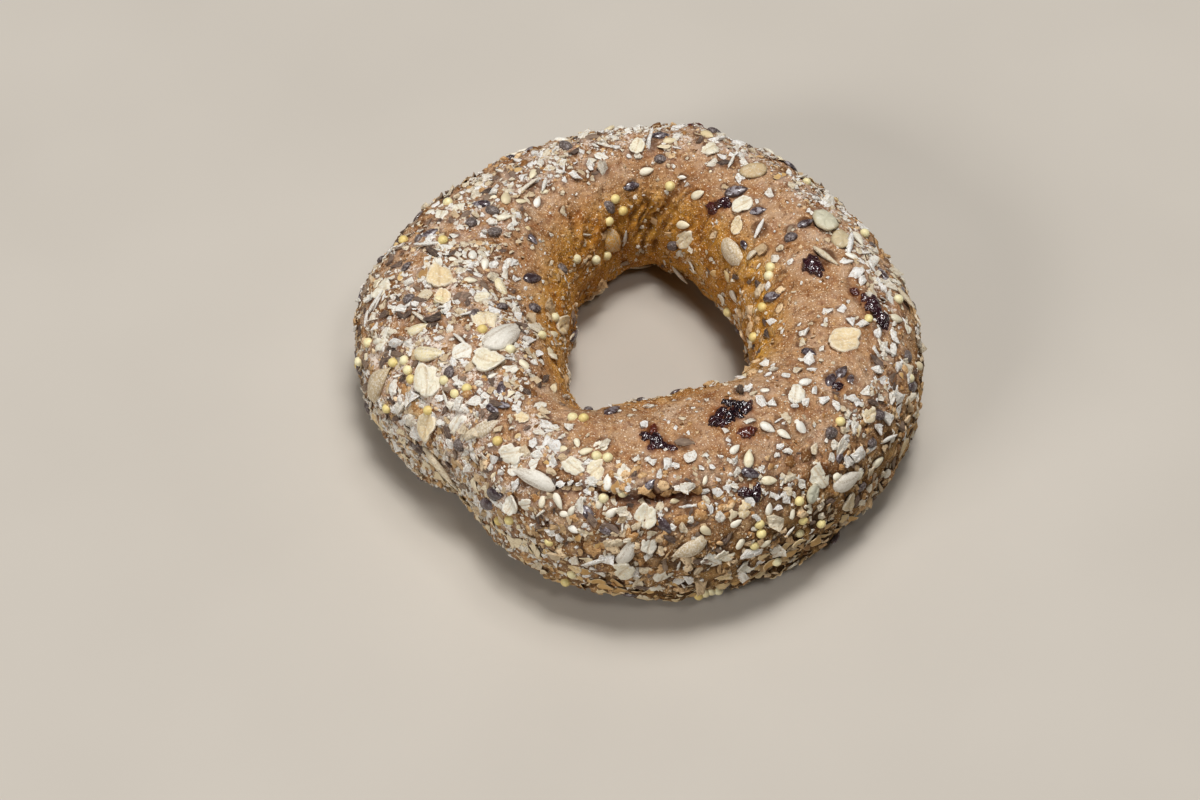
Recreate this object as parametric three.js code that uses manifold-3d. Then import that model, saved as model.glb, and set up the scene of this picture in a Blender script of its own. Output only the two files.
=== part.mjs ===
// Seeded bread ring in millimetres, +Z up. It rests on z = 0, with its origin under the middle of its box.
//
// Places on the dough are two angles in degrees. The ring angle runs anticlockwise from +X, seen from
// above. The section angle runs round the dough's own section: 0 is the outer flank, 90 is the crest
// and 180 is the wall of the hole.

import * as THREE from 'three';
import { mergeVertices } from 'three/addons/utils/BufferGeometryUtils.js';
import Module from 'manifold-3d';

// ---- The dough ----

// Hole radius, outer radius and height, at equal steps round the ring from +X
const DOUGH_STATIONS = [
  [22.5, 55, 31.5],
  [22, 51.5, 31],
  [21.5, 50.5, 30.5],
  [24, 50.5, 30],
  [24, 49.5, 29.5],
  [19, 48.5, 30],
  [17, 49, 30.5],
  [13, 52, 31.5],
  [12.5, 55.5, 32],
  [15, 53, 32],
  [20, 50, 32.5],
  [26.5, 55, 33],
  [23.5, 59, 33.5],
  [23, 59, 33.5],
  [26, 58, 33],
  [24.5, 58, 32],
];

// Middle of the box as seen from the centre of the ring angles
const BOX_MIDDLE = { x: 0.2, y: -4.6 };

const WIDEST_SHARE = 0.42; // of the height, where the section is widest
const TOP_POWER = 2.15; // superellipse power above the widest line
const FOOT_POWER = 2.6; // and below it
const FOOT_CUT = 2; // how far the foot's curve would reach below the flat base
const FLANK_FOOT_ANGLE = -56; // section angle where the outer flank meets the base
const HOLE_FOOT_ANGLE = 236; // section angle where the hole's wall meets the base
const RING_STEPS = 84;
const SECTION_STEPS = 18;

// ---- Relief of the crust ----

const LUMP_HEIGHT = 0.35;
const SEAM = { ring: 243, lean: 14, depth: 1, width: 6 }; // where the rolled ends meet
const SEAM_SWELL = { ring: 215, height: 0.8, width: 12 };
const CREASE = { ring: 81, depth: 2, width: 5, section: 158, spread: 38 };
const SIDE_CREASE = { ring: 34, depth: 1.1, width: 4, section: 172, spread: 22 };
const DENT = { ring: 261, section: 22, depth: 1.2, width: 5, spread: 9 };
const SHOULDER_LIP = { ring: 271, section: 67, height: 0.9, width: 17, spread: 9 };
const FLANK_FOLD = { ring: 300, section: -18, depth: 0.8, width: 32, spread: 8 };
const FADE_ANGLE = 14; // the relief fades out over this much of the section above the base

// Tears in the front shoulder: ring angle, section angle, length, gape, depth, turn
const TEARS = [
  [259, 52, 11, 1.4, 5, 12],
  [268, 56, 12, 1.8, 7, 6],
  [278, 56, 12, 1.6, 6, -8],
];
const TEAR_TILT = 28; // undercut below the lip, in degrees

// ---- Toppings ----

// Width and thickness as shares of the length, and how much of the thickness stands proud
const SHAPES = {
  kernel: { width: 0.44, thickness: 0.26, proud: 0.62, rings: 6, stacks: 3, taper: 0.35 },
  oval: { width: 0.74, thickness: 0.3, proud: 0.6, rings: 6, stacks: 3, taper: 0.1 },
  flake: { width: 0.8, thickness: 0.2, proud: 0.75, rings: 5, stacks: 3, taper: 0.12 },
  raisin: { width: 0.62, thickness: 0.42, proud: 0.4, rings: 6, stacks: 3, taper: 0 },
  linseed: { width: 0.52, thickness: 0.3, proud: 0.6, rings: 4, stacks: 3, taper: 0.25 },
  sesame: { width: 0.62, thickness: 0.34, proud: 0.6, rings: 4, stacks: 3, taper: 0.3 },
  millet: { width: 1, thickness: 1, proud: 0.62, rings: 4, stacks: 3, taper: 0 },
};

// Pieces as long as a fingernail is wide: shape, ring angle, section angle, turn, length
const LARGE_PIECES = [
  ['kernel', 206, 62, 44, 7.3],
  ['kernel', 211, 106, 119, 8],
  ['kernel', 248, 52, 178, 9.2],
  ['kernel', 232, 58, 64, 5.2],
  ['kernel', 279, 23, 28, 8.5],
  ['kernel', 268, 23, 66, 6.4],
  ['kernel', 200, 21, 166, 7.4],
  ['kernel', 32, 149, 163, 6.6],
  ['kernel', 102, 164, 110, 5.4],
  ['kernel', 187, 112, 20, 5],
  ['kernel', 197, 65, 78, 5.4],
  ['oval', 50, 88, 59, 5.7],
  ['oval', 22, 78, 178, 5.4],
  ['oval', 304, 31, 119, 4.6],
  ['oval', 312, 9, 46, 4.5],
  ['oval', 312, 26, 12, 5.4],
  ['oval', 14, 77, 177, 4.6],
  ['flake', 212, 50, 173, 7.4],
  ['flake', 182, 83, 172, 6.2],
  ['flake', 336, 87, 99, 7.2],
  ['flake', 44, 116, 100, 4.6],
  ['flake', 272, 45, 61, 5.2],
  ['flake', 241, 58, 24, 4.5],
  ['flake', 219, 85, 50, 4.5],
  ['flake', 87, 95, 2, 4.2],
  ['flake', 306, 40, 148, 4.4],
  ['flake', 286, -4, 153, 4.1],
  ['flake', 274, 5, 0, 4.1],
  ['flake', 314, 91, 20, 4.4],
  ['raisin', 274, 89, 173, 6.8],
  ['raisin', 296, 98, 170, 7.8],
  ['raisin', 297, 83, 158, 3.8],
  ['raisin', 6, 101, 30, 4.8],
  ['raisin', 356, 83, 87, 3.8],
  ['raisin', 351, 69, 32, 5.8],
  ['raisin', 325, 80, 175, 5.4],
  ['raisin', 53, 126, 47, 5.4],
  ['raisin', 292, 48, 156, 4.8],
];

// What the scattering rule adds, largest first: shape, mean length, number
const SCATTERED_PIECES = [
  ['kernel', 7, 9],
  ['flake', 5, 34],
  ['linseed', 4.3, 42],
  ['flake', 3.6, 38],
  ['sesame', 3, 24],
  ['millet', 2.1, 34],
];
const LENGTH_SPREAD = 0.15; // share of the mean length
const PIECE_GAP = 0.35; // least clear space between pieces
const SCATTER_SEED = 20;
const LOWEST_SECTION = -40;
const HIGHEST_SECTION = 205;

// ---- Numbers that only the solid needs ----

const WELD_DISTANCE = 1e-4;
const SIMPLIFY_DISTANCE = 0.08;
const TRIM_BOX = { side: 200, height: 80 };
const CRUST_COLOUR = 0xb4854f;
const SURFACE_STEP = 0.5; // degrees, for the slope of the surface

const radians = THREE.MathUtils.degToRad;

function signedPower(value, power) {
  return Math.sign(value) * Math.abs(value) ** power;
}

function bell(offset, width) {
  return Math.exp(-((offset / width) ** 2));
}

function ringOffset(ring, from) {
  return THREE.MathUtils.euclideanModulo(ring - from + 180, 360) - 180;
}

const stationCurve = new THREE.CatmullRomCurve3(
  DOUGH_STATIONS.map(([hole, outer, height]) => new THREE.Vector3(hole, outer, height)),
  true,
  'catmullrom',
);

// How far the crust stands out from the smooth dough
function relief(ring, section) {
  const turn = radians(ring);
  const tilt = radians(section);
  let out = Math.sin(3 * turn + 0.7) * Math.cos(2 * tilt - 0.5);
  out += 0.7 * Math.sin(7 * turn + 1.9) * Math.cos(3 * tilt + 0.4);
  out += 0.5 * Math.sin(13 * turn) * Math.sin(4 * tilt + 1.1);
  out *= LUMP_HEIGHT;
  const seamRing = SEAM.ring - SEAM.lean * (1 - section / 90);
  out -= SEAM.depth * bell(ringOffset(ring, seamRing), SEAM.width);
  out += SEAM_SWELL.height * bell(ringOffset(ring, SEAM_SWELL.ring), SEAM_SWELL.width);
  for (const fold of [CREASE, SIDE_CREASE, DENT, FLANK_FOLD]) {
    out -= fold.depth * bell(ringOffset(ring, fold.ring), fold.width) * bell(section - fold.section, fold.spread);
  }
  const lip = SHOULDER_LIP;
  out += lip.height * bell(ringOffset(ring, lip.ring), lip.width) * bell(section - lip.section, lip.spread);
  const aboveBase = Math.min(section - FLANK_FOOT_ANGLE, HOLE_FOOT_ANGLE - section);
  return out * THREE.MathUtils.smoothstep(aboveBase, 0, FADE_ANGLE);
}

// A point on the smooth dough, before its relief
function doughPoint(ring, section) {
  const { x: hole, y: outer, z: height } = stationCurve.getPoint(THREE.MathUtils.euclideanModulo(ring / 360, 1));
  const widest = WIDEST_SHARE * height;
  const rise = Math.sin(radians(section));
  const power = 2 / (rise > 0 ? TOP_POWER : FOOT_POWER);
  const reach = rise > 0 ? height - widest : widest + FOOT_CUT;
  const across = signedPower(Math.cos(radians(section)), power);
  const radius = (hole + outer) / 2 + ((outer - hole) / 2) * across;
  return new THREE.Vector3(
    radius * Math.cos(radians(ring)) - BOX_MIDDLE.x,
    radius * Math.sin(radians(ring)) - BOX_MIDDLE.y,
    Math.max(0, widest + reach * signedPower(rise, power)),
  );
}

// Directions on the surface: along the ring, up the section and straight out
function surfaceAxes(ring, section) {
  const along = doughPoint(ring + SURFACE_STEP, section).sub(doughPoint(ring - SURFACE_STEP, section)).normalize();
  const up = doughPoint(ring, section + SURFACE_STEP).sub(doughPoint(ring, section - SURFACE_STEP));
  const out = along.clone().cross(up).normalize();
  return { along, up: out.clone().cross(along), out };
}

function crustPoint(ring, section) {
  return doughPoint(ring, section).addScaledVector(surfaceAxes(ring, section).out, relief(ring, section));
}

// A closed mesh whose points are a grid, closed on itself both ways
function doughGeometry() {
  const positions = [];
  const indices = [];
  const rows = SECTION_STEPS + 1;
  for (let ringStep = 0; ringStep < RING_STEPS; ringStep += 1) {
    const ring = (360 * ringStep) / RING_STEPS;
    const nextRing = (ringStep + 1) % RING_STEPS;
    for (let row = 0; row < rows; row += 1) {
      const share = row / SECTION_STEPS;
      const point = crustPoint(ring, THREE.MathUtils.lerp(FLANK_FOOT_ANGLE, HOLE_FOOT_ANGLE, share));
      if (row === 0 || row === SECTION_STEPS) {
        point.z = 0;
      }
      positions.push(point.x, point.y, point.z);
      const corner = ringStep * rows + row;
      const above = ringStep * rows + ((row + 1) % rows);
      const beside = nextRing * rows + row;
      const opposite = nextRing * rows + ((row + 1) % rows);
      indices.push(corner, beside, opposite, corner, opposite, above);
    }
  }
  const geometry = new THREE.BufferGeometry();
  geometry.setAttribute('position', new THREE.Float32BufferAttribute(positions, 3));
  geometry.setIndex(indices);
  return geometry;
}

// A pebble of unit length along X, pointed towards +X by its taper
function pebbleGeometry({ width, thickness, rings, stacks, taper }) {
  const geometry = new THREE.SphereGeometry(0.5, rings, stacks);
  geometry.rotateZ(-Math.PI / 2);
  const position = geometry.getAttribute('position');
  for (let index = 0; index < position.count; index += 1) {
    const along = position.getX(index);
    const girth = 1 - taper * 2 * along;
    position.setY(index, position.getY(index) * width * girth);
    position.setZ(index, position.getZ(index) * thickness * girth);
  }
  return geometry;
}

function surfaceMatrix(ring, section, turn, lift) {
  const { along, up, out } = surfaceAxes(ring, section);
  const centre = crustPoint(ring, section).addScaledVector(out, lift);
  const matrix = new THREE.Matrix4().makeBasis(along, up, out).setPosition(centre);
  return matrix.multiply(new THREE.Matrix4().makeRotationZ(radians(turn)));
}

function toppingGeometry({ shape, ring, section, turn, length }) {
  const { thickness, proud } = SHAPES[shape];
  const lift = (proud - 0.5) * thickness * length;
  const geometry = pebbleGeometry(SHAPES[shape]);
  geometry.scale(length, length, length);
  return geometry.applyMatrix4(surfaceMatrix(ring, section, turn, lift));
}

function tearGeometry([ring, section, length, gape, depth, turn]) {
  const geometry = new THREE.SphereGeometry(0.5, 8, 6);
  geometry.scale(length, gape, depth);
  geometry.rotateX(radians(TEAR_TILT));
  return geometry.applyMatrix4(surfaceMatrix(ring, section, turn, 0));
}

// Mulberry32: the same even draws from 0 to 1 on every run
function seededRandom(seed) {
  let state = seed;
  return () => {
    state = (state + 0x6d2b79f5) | 0;
    let mixed = Math.imul(state ^ (state >>> 15), 1 | state);
    mixed = (mixed + Math.imul(mixed ^ (mixed >>> 7), 61 | mixed)) ^ mixed;
    return ((mixed ^ (mixed >>> 14)) >>> 0) / 4294967296;
  };
}

// How thickly the crust is seeded, from 0 to 1: full on the flank, thin on the crest and in the hole
function seedDensity(ring, section) {
  const leftSide = bell(ringOffset(ring, 195), 55);
  const bareFrom = 62 + 40 * leftSide;
  const crest = THREE.MathUtils.smoothstep(section, bareFrom - 12, bareFrom + 14);
  const hole = THREE.MathUtils.smoothstep(section, 125, 150);
  return 1 - 0.82 * crest + 0.22 * hole;
}

// Pieces in free places, thicker where the seeding is
function scatterPieces(placed) {
  const random = seededRandom(SCATTER_SEED);
  const pieces = placed.map((piece) => ({ ...piece, at: crustPoint(piece.ring, piece.section) }));
  for (const [shape, meanLength, number] of SCATTERED_PIECES) {
    let added = 0;
    while (added < number) {
      const ring = 360 * random();
      const section = THREE.MathUtils.lerp(LOWEST_SECTION, HIGHEST_SECTION, random());
      const length = meanLength * (1 + LENGTH_SPREAD * (2 * random() - 1));
      const turn = 180 * random();
      const keep = random() < seedDensity(ring, section);
      const at = crustPoint(ring, section);
      const apart = (other) => at.distanceTo(other.at) > (length + other.length) / 2 + PIECE_GAP;
      if (keep && pieces.every(apart)) {
        pieces.push({ shape, ring, section, turn, length, at });
        added += 1;
      }
    }
  }
  return pieces;
}

// ---- Joining ----

const wasm = await Module();
wasm.setup();

function solidFrom(geometry) {
  const bare = geometry.clone();
  bare.deleteAttribute('normal');
  bare.deleteAttribute('uv');
  const merged = mergeVertices(bare, WELD_DISTANCE);
  return new wasm.Manifold(new wasm.Mesh({
    numProp: 3,
    vertProperties: merged.getAttribute('position').array,
    triVerts: new Uint32Array(merged.getIndex().array),
  }));
}

// What lies above the base
function trimmed(solid) {
  const box = new THREE.BoxGeometry(TRIM_BOX.side, TRIM_BOX.side, TRIM_BOX.height);
  box.translate(0, 0, TRIM_BOX.height / 2);
  return solid.intersect(solidFrom(box));
}

// The largest connected piece, with no scraps and no sealed hollows
function largestPiece(solid) {
  return solid.decompose().reduce((best, piece) => (piece.volume() > best.volume() ? piece : best));
}

function geometryFrom(solid) {
  const { vertProperties, triVerts } = solid.getMesh();
  const geometry = new THREE.BufferGeometry();
  geometry.setAttribute('position', new THREE.BufferAttribute(new Float32Array(vertProperties), 3));
  geometry.setIndex(new THREE.BufferAttribute(new Uint32Array(triVerts), 1));
  geometry.computeVertexNormals();
  return geometry;
}

function bagelGeometry() {
  const large = LARGE_PIECES.map(([shape, ring, section, turn, length]) => ({ shape, ring, section, turn, length }));
  let solid = solidFrom(doughGeometry());
  for (const tear of TEARS) {
    solid = solid.subtract(solidFrom(tearGeometry(tear)));
  }
  for (const piece of scatterPieces(large)) {
    solid = solid.add(solidFrom(toppingGeometry(piece)));
  }
  return geometryFrom(largestPiece(trimmed(solid)).simplify(SIMPLIFY_DISTANCE));
}

const bagelMaterial = new THREE.MeshStandardMaterial({ color: CRUST_COLOUR, roughness: 0.85, metalness: 0 });
const bagel = new THREE.Mesh(bagelGeometry(), bagelMaterial);
bagel.name = 'bagel';

const group = new THREE.Group();
group.add(bagel);

export default group;
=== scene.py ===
# Looks of the seeded bread ring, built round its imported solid.
#
# Sizes are in millimetres until a mesh is made. Places on the dough are two angles in degrees, as in the
# solid: the ring angle runs anticlockwise from +X, seen from above, and the section angle runs round the
# dough's own section, with 0 on the outer flank, 90 on the crest and 180 on the wall of the hole.

import math

import bpy
import numpy as np
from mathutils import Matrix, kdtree


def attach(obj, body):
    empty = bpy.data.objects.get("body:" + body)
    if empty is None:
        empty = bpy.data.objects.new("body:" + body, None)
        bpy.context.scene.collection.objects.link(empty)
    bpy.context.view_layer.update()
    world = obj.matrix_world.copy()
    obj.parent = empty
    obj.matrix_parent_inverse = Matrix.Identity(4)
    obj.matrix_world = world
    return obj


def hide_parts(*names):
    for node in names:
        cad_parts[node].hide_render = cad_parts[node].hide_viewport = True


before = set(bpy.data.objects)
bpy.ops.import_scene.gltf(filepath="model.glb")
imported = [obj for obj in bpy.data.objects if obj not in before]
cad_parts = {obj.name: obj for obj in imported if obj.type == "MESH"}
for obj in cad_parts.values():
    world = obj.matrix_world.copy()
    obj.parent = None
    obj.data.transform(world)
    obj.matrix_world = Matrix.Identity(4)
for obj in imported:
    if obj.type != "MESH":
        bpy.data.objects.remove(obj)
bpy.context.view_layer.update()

MM = 0.001  # metres

# ---- The dough: the solid's own dimensions ----

# Hole radius, outer radius and height at equal steps round the ring, and the section angle that the thick
# seeding reaches
STATIONS = np.array([
    (22.5, 55, 31.5, 72), (22, 51.5, 31, 80), (21.5, 50.5, 30.5, 90), (24, 50.5, 30, 100),
    (24, 49.5, 29.5, 104), (19, 48.5, 30, 105), (17, 49, 30.5, 103), (13, 52, 31.5, 106),
    (12.5, 55.5, 32, 118), (15, 53, 32, 128), (20, 50, 32.5, 118), (26.5, 55, 33, 88),
    (23.5, 59, 33.5, 66), (23, 59, 33.5, 60), (26, 58, 33, 60), (24.5, 58, 32, 64),
])
BOX_MIDDLE = (0.2, -4.6)
WIDEST_SHARE = 0.42
TOP_POWER = 2.15
FOOT_POWER = 2.6
FOOT_CUT = 2.0
FLANK_FOOT_ANGLE = -56
HOLE_FOOT_ANGLE = 236

LUMP_HEIGHT = 0.35
SEAM = {"ring": 243, "lean": 14, "depth": 1.0, "width": 6}
SEAM_SWELL = {"ring": 215, "height": 0.8, "width": 12}
FOLDS = [
    {"ring": 81, "depth": 2.0, "width": 5, "section": 158, "spread": 38},
    {"ring": 34, "depth": 1.1, "width": 4, "section": 172, "spread": 22},
    {"ring": 261, "depth": 1.2, "width": 5, "section": 22, "spread": 9},
    {"ring": 300, "depth": 0.8, "width": 32, "section": -18, "spread": 8},
]
SHOULDER_LIP = {"ring": 271, "section": 67, "height": 0.9, "width": 17, "spread": 9}
FADE_ANGLE = 14

# The tear in the front shoulder: ring angle, section angle and depth along its lower edge
TEAR_LINE = np.array([
    (247, 50, 0.0), (251, 51, 1.0), (256, 53, 1.3), (261, 56, 0.8), (266, 54, 1.3), (272, 57, 1.9),
    (277, 56, 1.9), (282, 54, 1.1), (288, 50, 0.0),
])

# ---- What the finer crust adds to the solid's form ----

TEAR_GAPE = 1.25
TEAR_LIP = 0.9  # how far the lip hangs down over the tear
TEAR_LIP_RISE = 0.6
FULL_LIP_DEPTH = 1.5  # the lip is whole where the tear is this deep or more
CRUST_TO_A_DEGREE = 0.3  # round the section, near the shoulder
CREASE_SHARE = 0.85  # of a seen crease's depth
FAN = 83  # ring angle of the creases that fan out over the back wall of the hole
FAN_STEP = 5.0  # degrees of the ring from crease to crease
FAN_DEPTH = 0.75
FOOT_DRAWN_IN = 2.7
LOW_FRONT_DRAWN_IN = 1.1

# Ring angles of places that look different
BACK_RIGHT = 60
BACK = 85
LEFT = 180
LEFT_FRONT = 210
FLOURY_SIDE = 215
LOW_LEFT = 222
LOW_FRONT = 255
FRONT = 270
FRONT_FOOT = 275

# ---- The camera ----

IMAGE_SIZE = (1200, 800)
SENSOR_WIDTH = 36.0
LENS = 69.8
CAMERA_ELEVATION = 52
CAMERA_DISTANCE = 470
CAMERA_TARGET = (-7.2, -1.4, 0)
LEAST_FACING = 0.03  # crust that is turned to the camera by less than this isn't seen
NEARER_WINS = 0.3  # square pixels that a millimetre farther off counts for

# ---- Crust mesh ----

CRUST_RING_STEPS = 560
CRUST_SECTION_STEPS = 152
BASE_STEPS = 16
BASE_RECESS = 0.3
LOOKS_ON_BASE = ("golden", "dusty", "flank")  # those that go on from the crust over its base
SEED = 7

# ---- Pieces seen in the image ----

# Each row says how far across and down the image the piece lies, its length and angle there, and where its
# colour lies between the first tone of its kind (0) and the last (1). A kernel's row ends with its shape.

KERNELS_SEEN = [
    (429, 356, 35, -2, 0.75, 1), (506, 335, 41, 33, 0.05, 4), (534, 476, 47, 156, 0.05, 0),
    (486, 428, 30, 28, 0.35, 3), (688, 549, 42, 210, 0.4, 2), (628, 551, 30, 60, 0.05, 1),
    (379, 383, 40, 62, 0.45, 2), (736, 257, 42, -50, 0.45, 3), (733, 296, 20, -65, 0.2, 3),
    (612, 242, 28, -57, 1.0, 4), (503, 289, 23, -58, 0.75, 1), (419, 330, 26, 20, 0.75, 1),
    (847, 480, 32, 32, 0.1, 3),
]
OVALS_SEEN = [
    (754, 172, 28, 10, 0.8), (826, 222, 26, -62, 0.2), (811, 494, 22, 65, 0.1), (841, 240, 21, 80, 0.6),
]
FLAKES_SEEN = [
    (429, 381, 37, 92, 0.4), (481, 298, 18, 10, 0.5), (385, 333, 17, 60, 0.1), (379, 344, 16, 20, 0.3),
    (462, 354, 22, 20, 0.1), (442, 278, 25, 88, 0.9), (442, 298, 18, 80, 0.85), (845, 341, 36, 8, 0.85),
    (743, 509, 24, 5, 0.85), (695, 579, 20, 20, 1.0), (743, 206, 23, 30, 0.4), (737, 226, 20, 60, 0.8),
    (647, 516, 27, 80, 0.4), (596, 297, 20, 60, 0.7), (513, 452, 25, 10, 0.25), (488, 364, 32, -12, 0.5),
    (637, 148, 16, 70, 0.5), (818, 475, 27, -58, 0.35), (665, 578, 19, 60, 0.2), (623, 571, 21, 45, 0.45),
    (723, 555, 22, 20, 0.4), (796, 394, 20, 85, 0.2), (561, 325, 20, 40, 0.95), (686, 239, 17, 35, 0.7),
    (659, 593, 20, 14, 0.2), (512, 505, 17, 75, 0.15), (527, 504, 14, 10, 0.2), (457, 421, 25, 62, 0.1),
    (429, 426, 28, 80, 0.8), (485, 318, 25, -72, 0.7), (573, 466, 22, -35, 0.4), (651, 545, 19, 75, 0.15),
    (552, 353, 17, 0, 0.6), (711, 148, 22, 30, 0.45), (725, 579, 21, 20, 0.95), (602, 445, 16, 20, 0.3),
    (383, 288, 22, -15, 0.3), (532, 465, 14, 30, 0.05), (515, 468, 15, 0, 0.05), (747, 567, 20, 12, 0.2),
    (711, 563, 18, -22, 0.1), (848, 501, 19, 75, 0.75), (862, 471, 15, 70, 0.1),
]
RAISINS_SEEN = [
    (652, 429, 9, 80, 1.0), (647, 436, 13, 20, 0.3), (656, 441, 16, -40, 0.1), (651, 447, 11, 10, 0.6),
    (665, 446, 14, -25, 0.3), (672, 449, 10, 0, 0.5), (716, 419, 14, 40, 0.3), (725, 421, 13, 10, 0.4),
    (721, 411, 13, 30, 0.2), (729, 404, 14, -10, 0.0), (731, 413, 14, 50, 0.0), (739, 407, 15, 10, 0.0),
    (747, 408, 12, 60, 0.2), (739, 416, 12, -20, 0.0), (746, 433, 16, 30, 0.9), (714, 208, 17, 15, 0.7),
    (723, 204, 15, 30, 0.5), (812, 266, 20, -40, 0.5), (855, 290, 11, -40, 0.8), (866, 299, 11, -60, 0.6),
    (874, 307, 20, -55, 0.5), (883, 321, 19, -65, 0.3), (837, 387, 10, 20, 0.3), (746, 492, 13, 20, 0.4),
    (755, 493, 14, 80, 0.3),
]
LINSEEDS_SEEN = [
    (632, 186, 17, 10, 0.1), (661, 136, 19, 6, 0.3), (736, 191, 24, 15, 0.8), (759, 211, 17, 6, 0.4),
    (744, 246, 12, -60, 0.2), (806, 224, 17, 25, 0.5), (532, 239, 15, -52, 0.3), (531, 278, 18, 2, 0.3),
    (502, 389, 15, 88, 0.5), (503, 405, 14, -10, 0.1), (494, 408, 14, -35, 0.3), (496, 495, 19, -10, 0.2),
    (487, 506, 18, -12, 0.6), (589, 514, 20, -52, 0.2), (606, 528, 20, -30, 0.7), (647, 485, 18, 42, 0.2),
    (751, 474, 20, -14, 0.1), (773, 297, 16, 20, 0.6), (808, 352, 15, -20, 0.2), (431, 235, 20, 30, 0.6),
    (613, 411, 18, 25, 0.6), (912, 388, 18, 12, 0.6), (840, 458, 18, 60, 0.7), (574, 335, 15, 70, 0.4),
    (832, 381, 16, 60, 0.5), (841, 374, 16, 50, 0.7), (849, 380, 14, 75, 0.8),
]
DARK_SEEDS_SEEN = [
    (661, 159, 13, 0, 0.6), (792, 237, 14, 20, 0.3), (534, 308, 14, -10, 0.3), (460, 445, 15, 75, 0.8),
    (450, 371, 14, -60, 0.5), (878, 415, 14, -10, 0.4), (832, 432, 15, 0, 0.6), (871, 442, 13, 0, 0.5),
    (862, 488, 15, 0, 0.6), (473, 223, 14, 85, 0.7), (493, 211, 15, -20, 0.9), (494, 231, 15, 20, 0.9),
    (408, 298, 13, 40, 0.6), (476, 314, 13, 60, 0.6), (609, 208, 14, -50, 0.7), (673, 245, 13, 50, 0.7),
    (906, 355, 14, 80, 0.7), (641, 400, 12, 0, 0.2), (738, 330, 11, 0, 0.1), (503, 306, 12, 0, 0.4),
    (588, 406, 12, 30, 0.3),
]
MILLET_ACROSS = 10.8  # in the image, the same for every grain, whose rows say only where it lies
MILLET_SEEN = [
    (615, 199), (622, 211), (608, 221), (671, 186), (576, 259), (595, 259), (605, 255), (771, 268),
    (770, 276), (553, 318), (540, 337), (511, 350), (395, 363), (406, 361), (409, 369), (411, 379),
    (445, 380), (456, 394), (468, 388), (387, 408), (356, 364), (370, 342), (430, 410), (498, 440),
    (499, 521), (510, 521), (548, 544), (571, 576), (565, 586), (596, 456), (607, 458), (623, 494),
    (605, 497), (758, 523), (761, 534), (797, 501), (802, 519), (799, 533), (821, 523), (838, 422),
    (698, 599), (707, 600), (714, 595), (721, 594), (441, 301), (482, 330), (573, 419), (583, 419),
    (764, 307), (729, 311), (755, 338), (908, 378), (404, 242), (444, 242), (449, 204), (863, 235),
    (777, 563), (753, 545),
]
SESAME_SEEN = [
    (647, 172, 15, 15, 0.3), (698, 194, 15, 25, 0.4), (682, 225, 14, 0, 0.5), (682, 177, 9, 0, 0.0),
    (609, 480, 17, 88, 0.0), (612, 511, 15, 40, 0.1), (600, 504, 13, 60, 0.3), (557, 501, 18, -60, 0.2),
    (542, 501, 13, 85, 0.3), (565, 515, 11, 0, 0.2), (571, 511, 11, 60, 0.2), (575, 528, 13, -30, 0.0),
    (563, 450, 13, -5, 0.6), (577, 444, 10, -70, 0.4), (586, 450, 14, 20, 0.5), (707, 530, 14, -40, 0.6),
    (736, 524, 13, 35, 0.2), (740, 543, 16, 50, 0.3), (752, 530, 9, -10, 0.1), (766, 542, 13, 30, 0.4),
    (769, 509, 15, 88, 0.1), (791, 514, 12, 60, 0.3), (768, 428, 17, -27, 0.0), (783, 435, 16, -35, 0.2),
    (801, 430, 20, -50, 0.0), (735, 449, 13, 45, 0.1), (747, 459, 18, 88, 0.5), (767, 480, 16, 0, 0.5),
    (704, 480, 10, 70, 0.3), (765, 390, 11, 0, 0.1), (805, 381, 14, 20, 0.0), (887, 473, 13, 85, 0.1),
    (859, 472, 14, 80, 0.3), (876, 461, 16, 50, 0.4), (837, 474, 11, 30, 0.3), (492, 377, 11, 20, 0.0),
    (474, 255, 12, 85, 0.0), (451, 259, 10, -10, 0.2), (469, 280, 14, 0, 0.4), (505, 219, 15, 5, 0.3),
    (521, 201, 12, 0, 0.6), (537, 202, 11, 75, 0.0), (544, 193, 10, 0, 0.5), (506, 198, 14, 88, 0.7),
    (669, 142, 14, 10, 0.7), (896, 319, 14, -10, 0.4), (857, 240, 15, -60, 0.2), (676, 502, 10, 0, 0.7),
]
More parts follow.
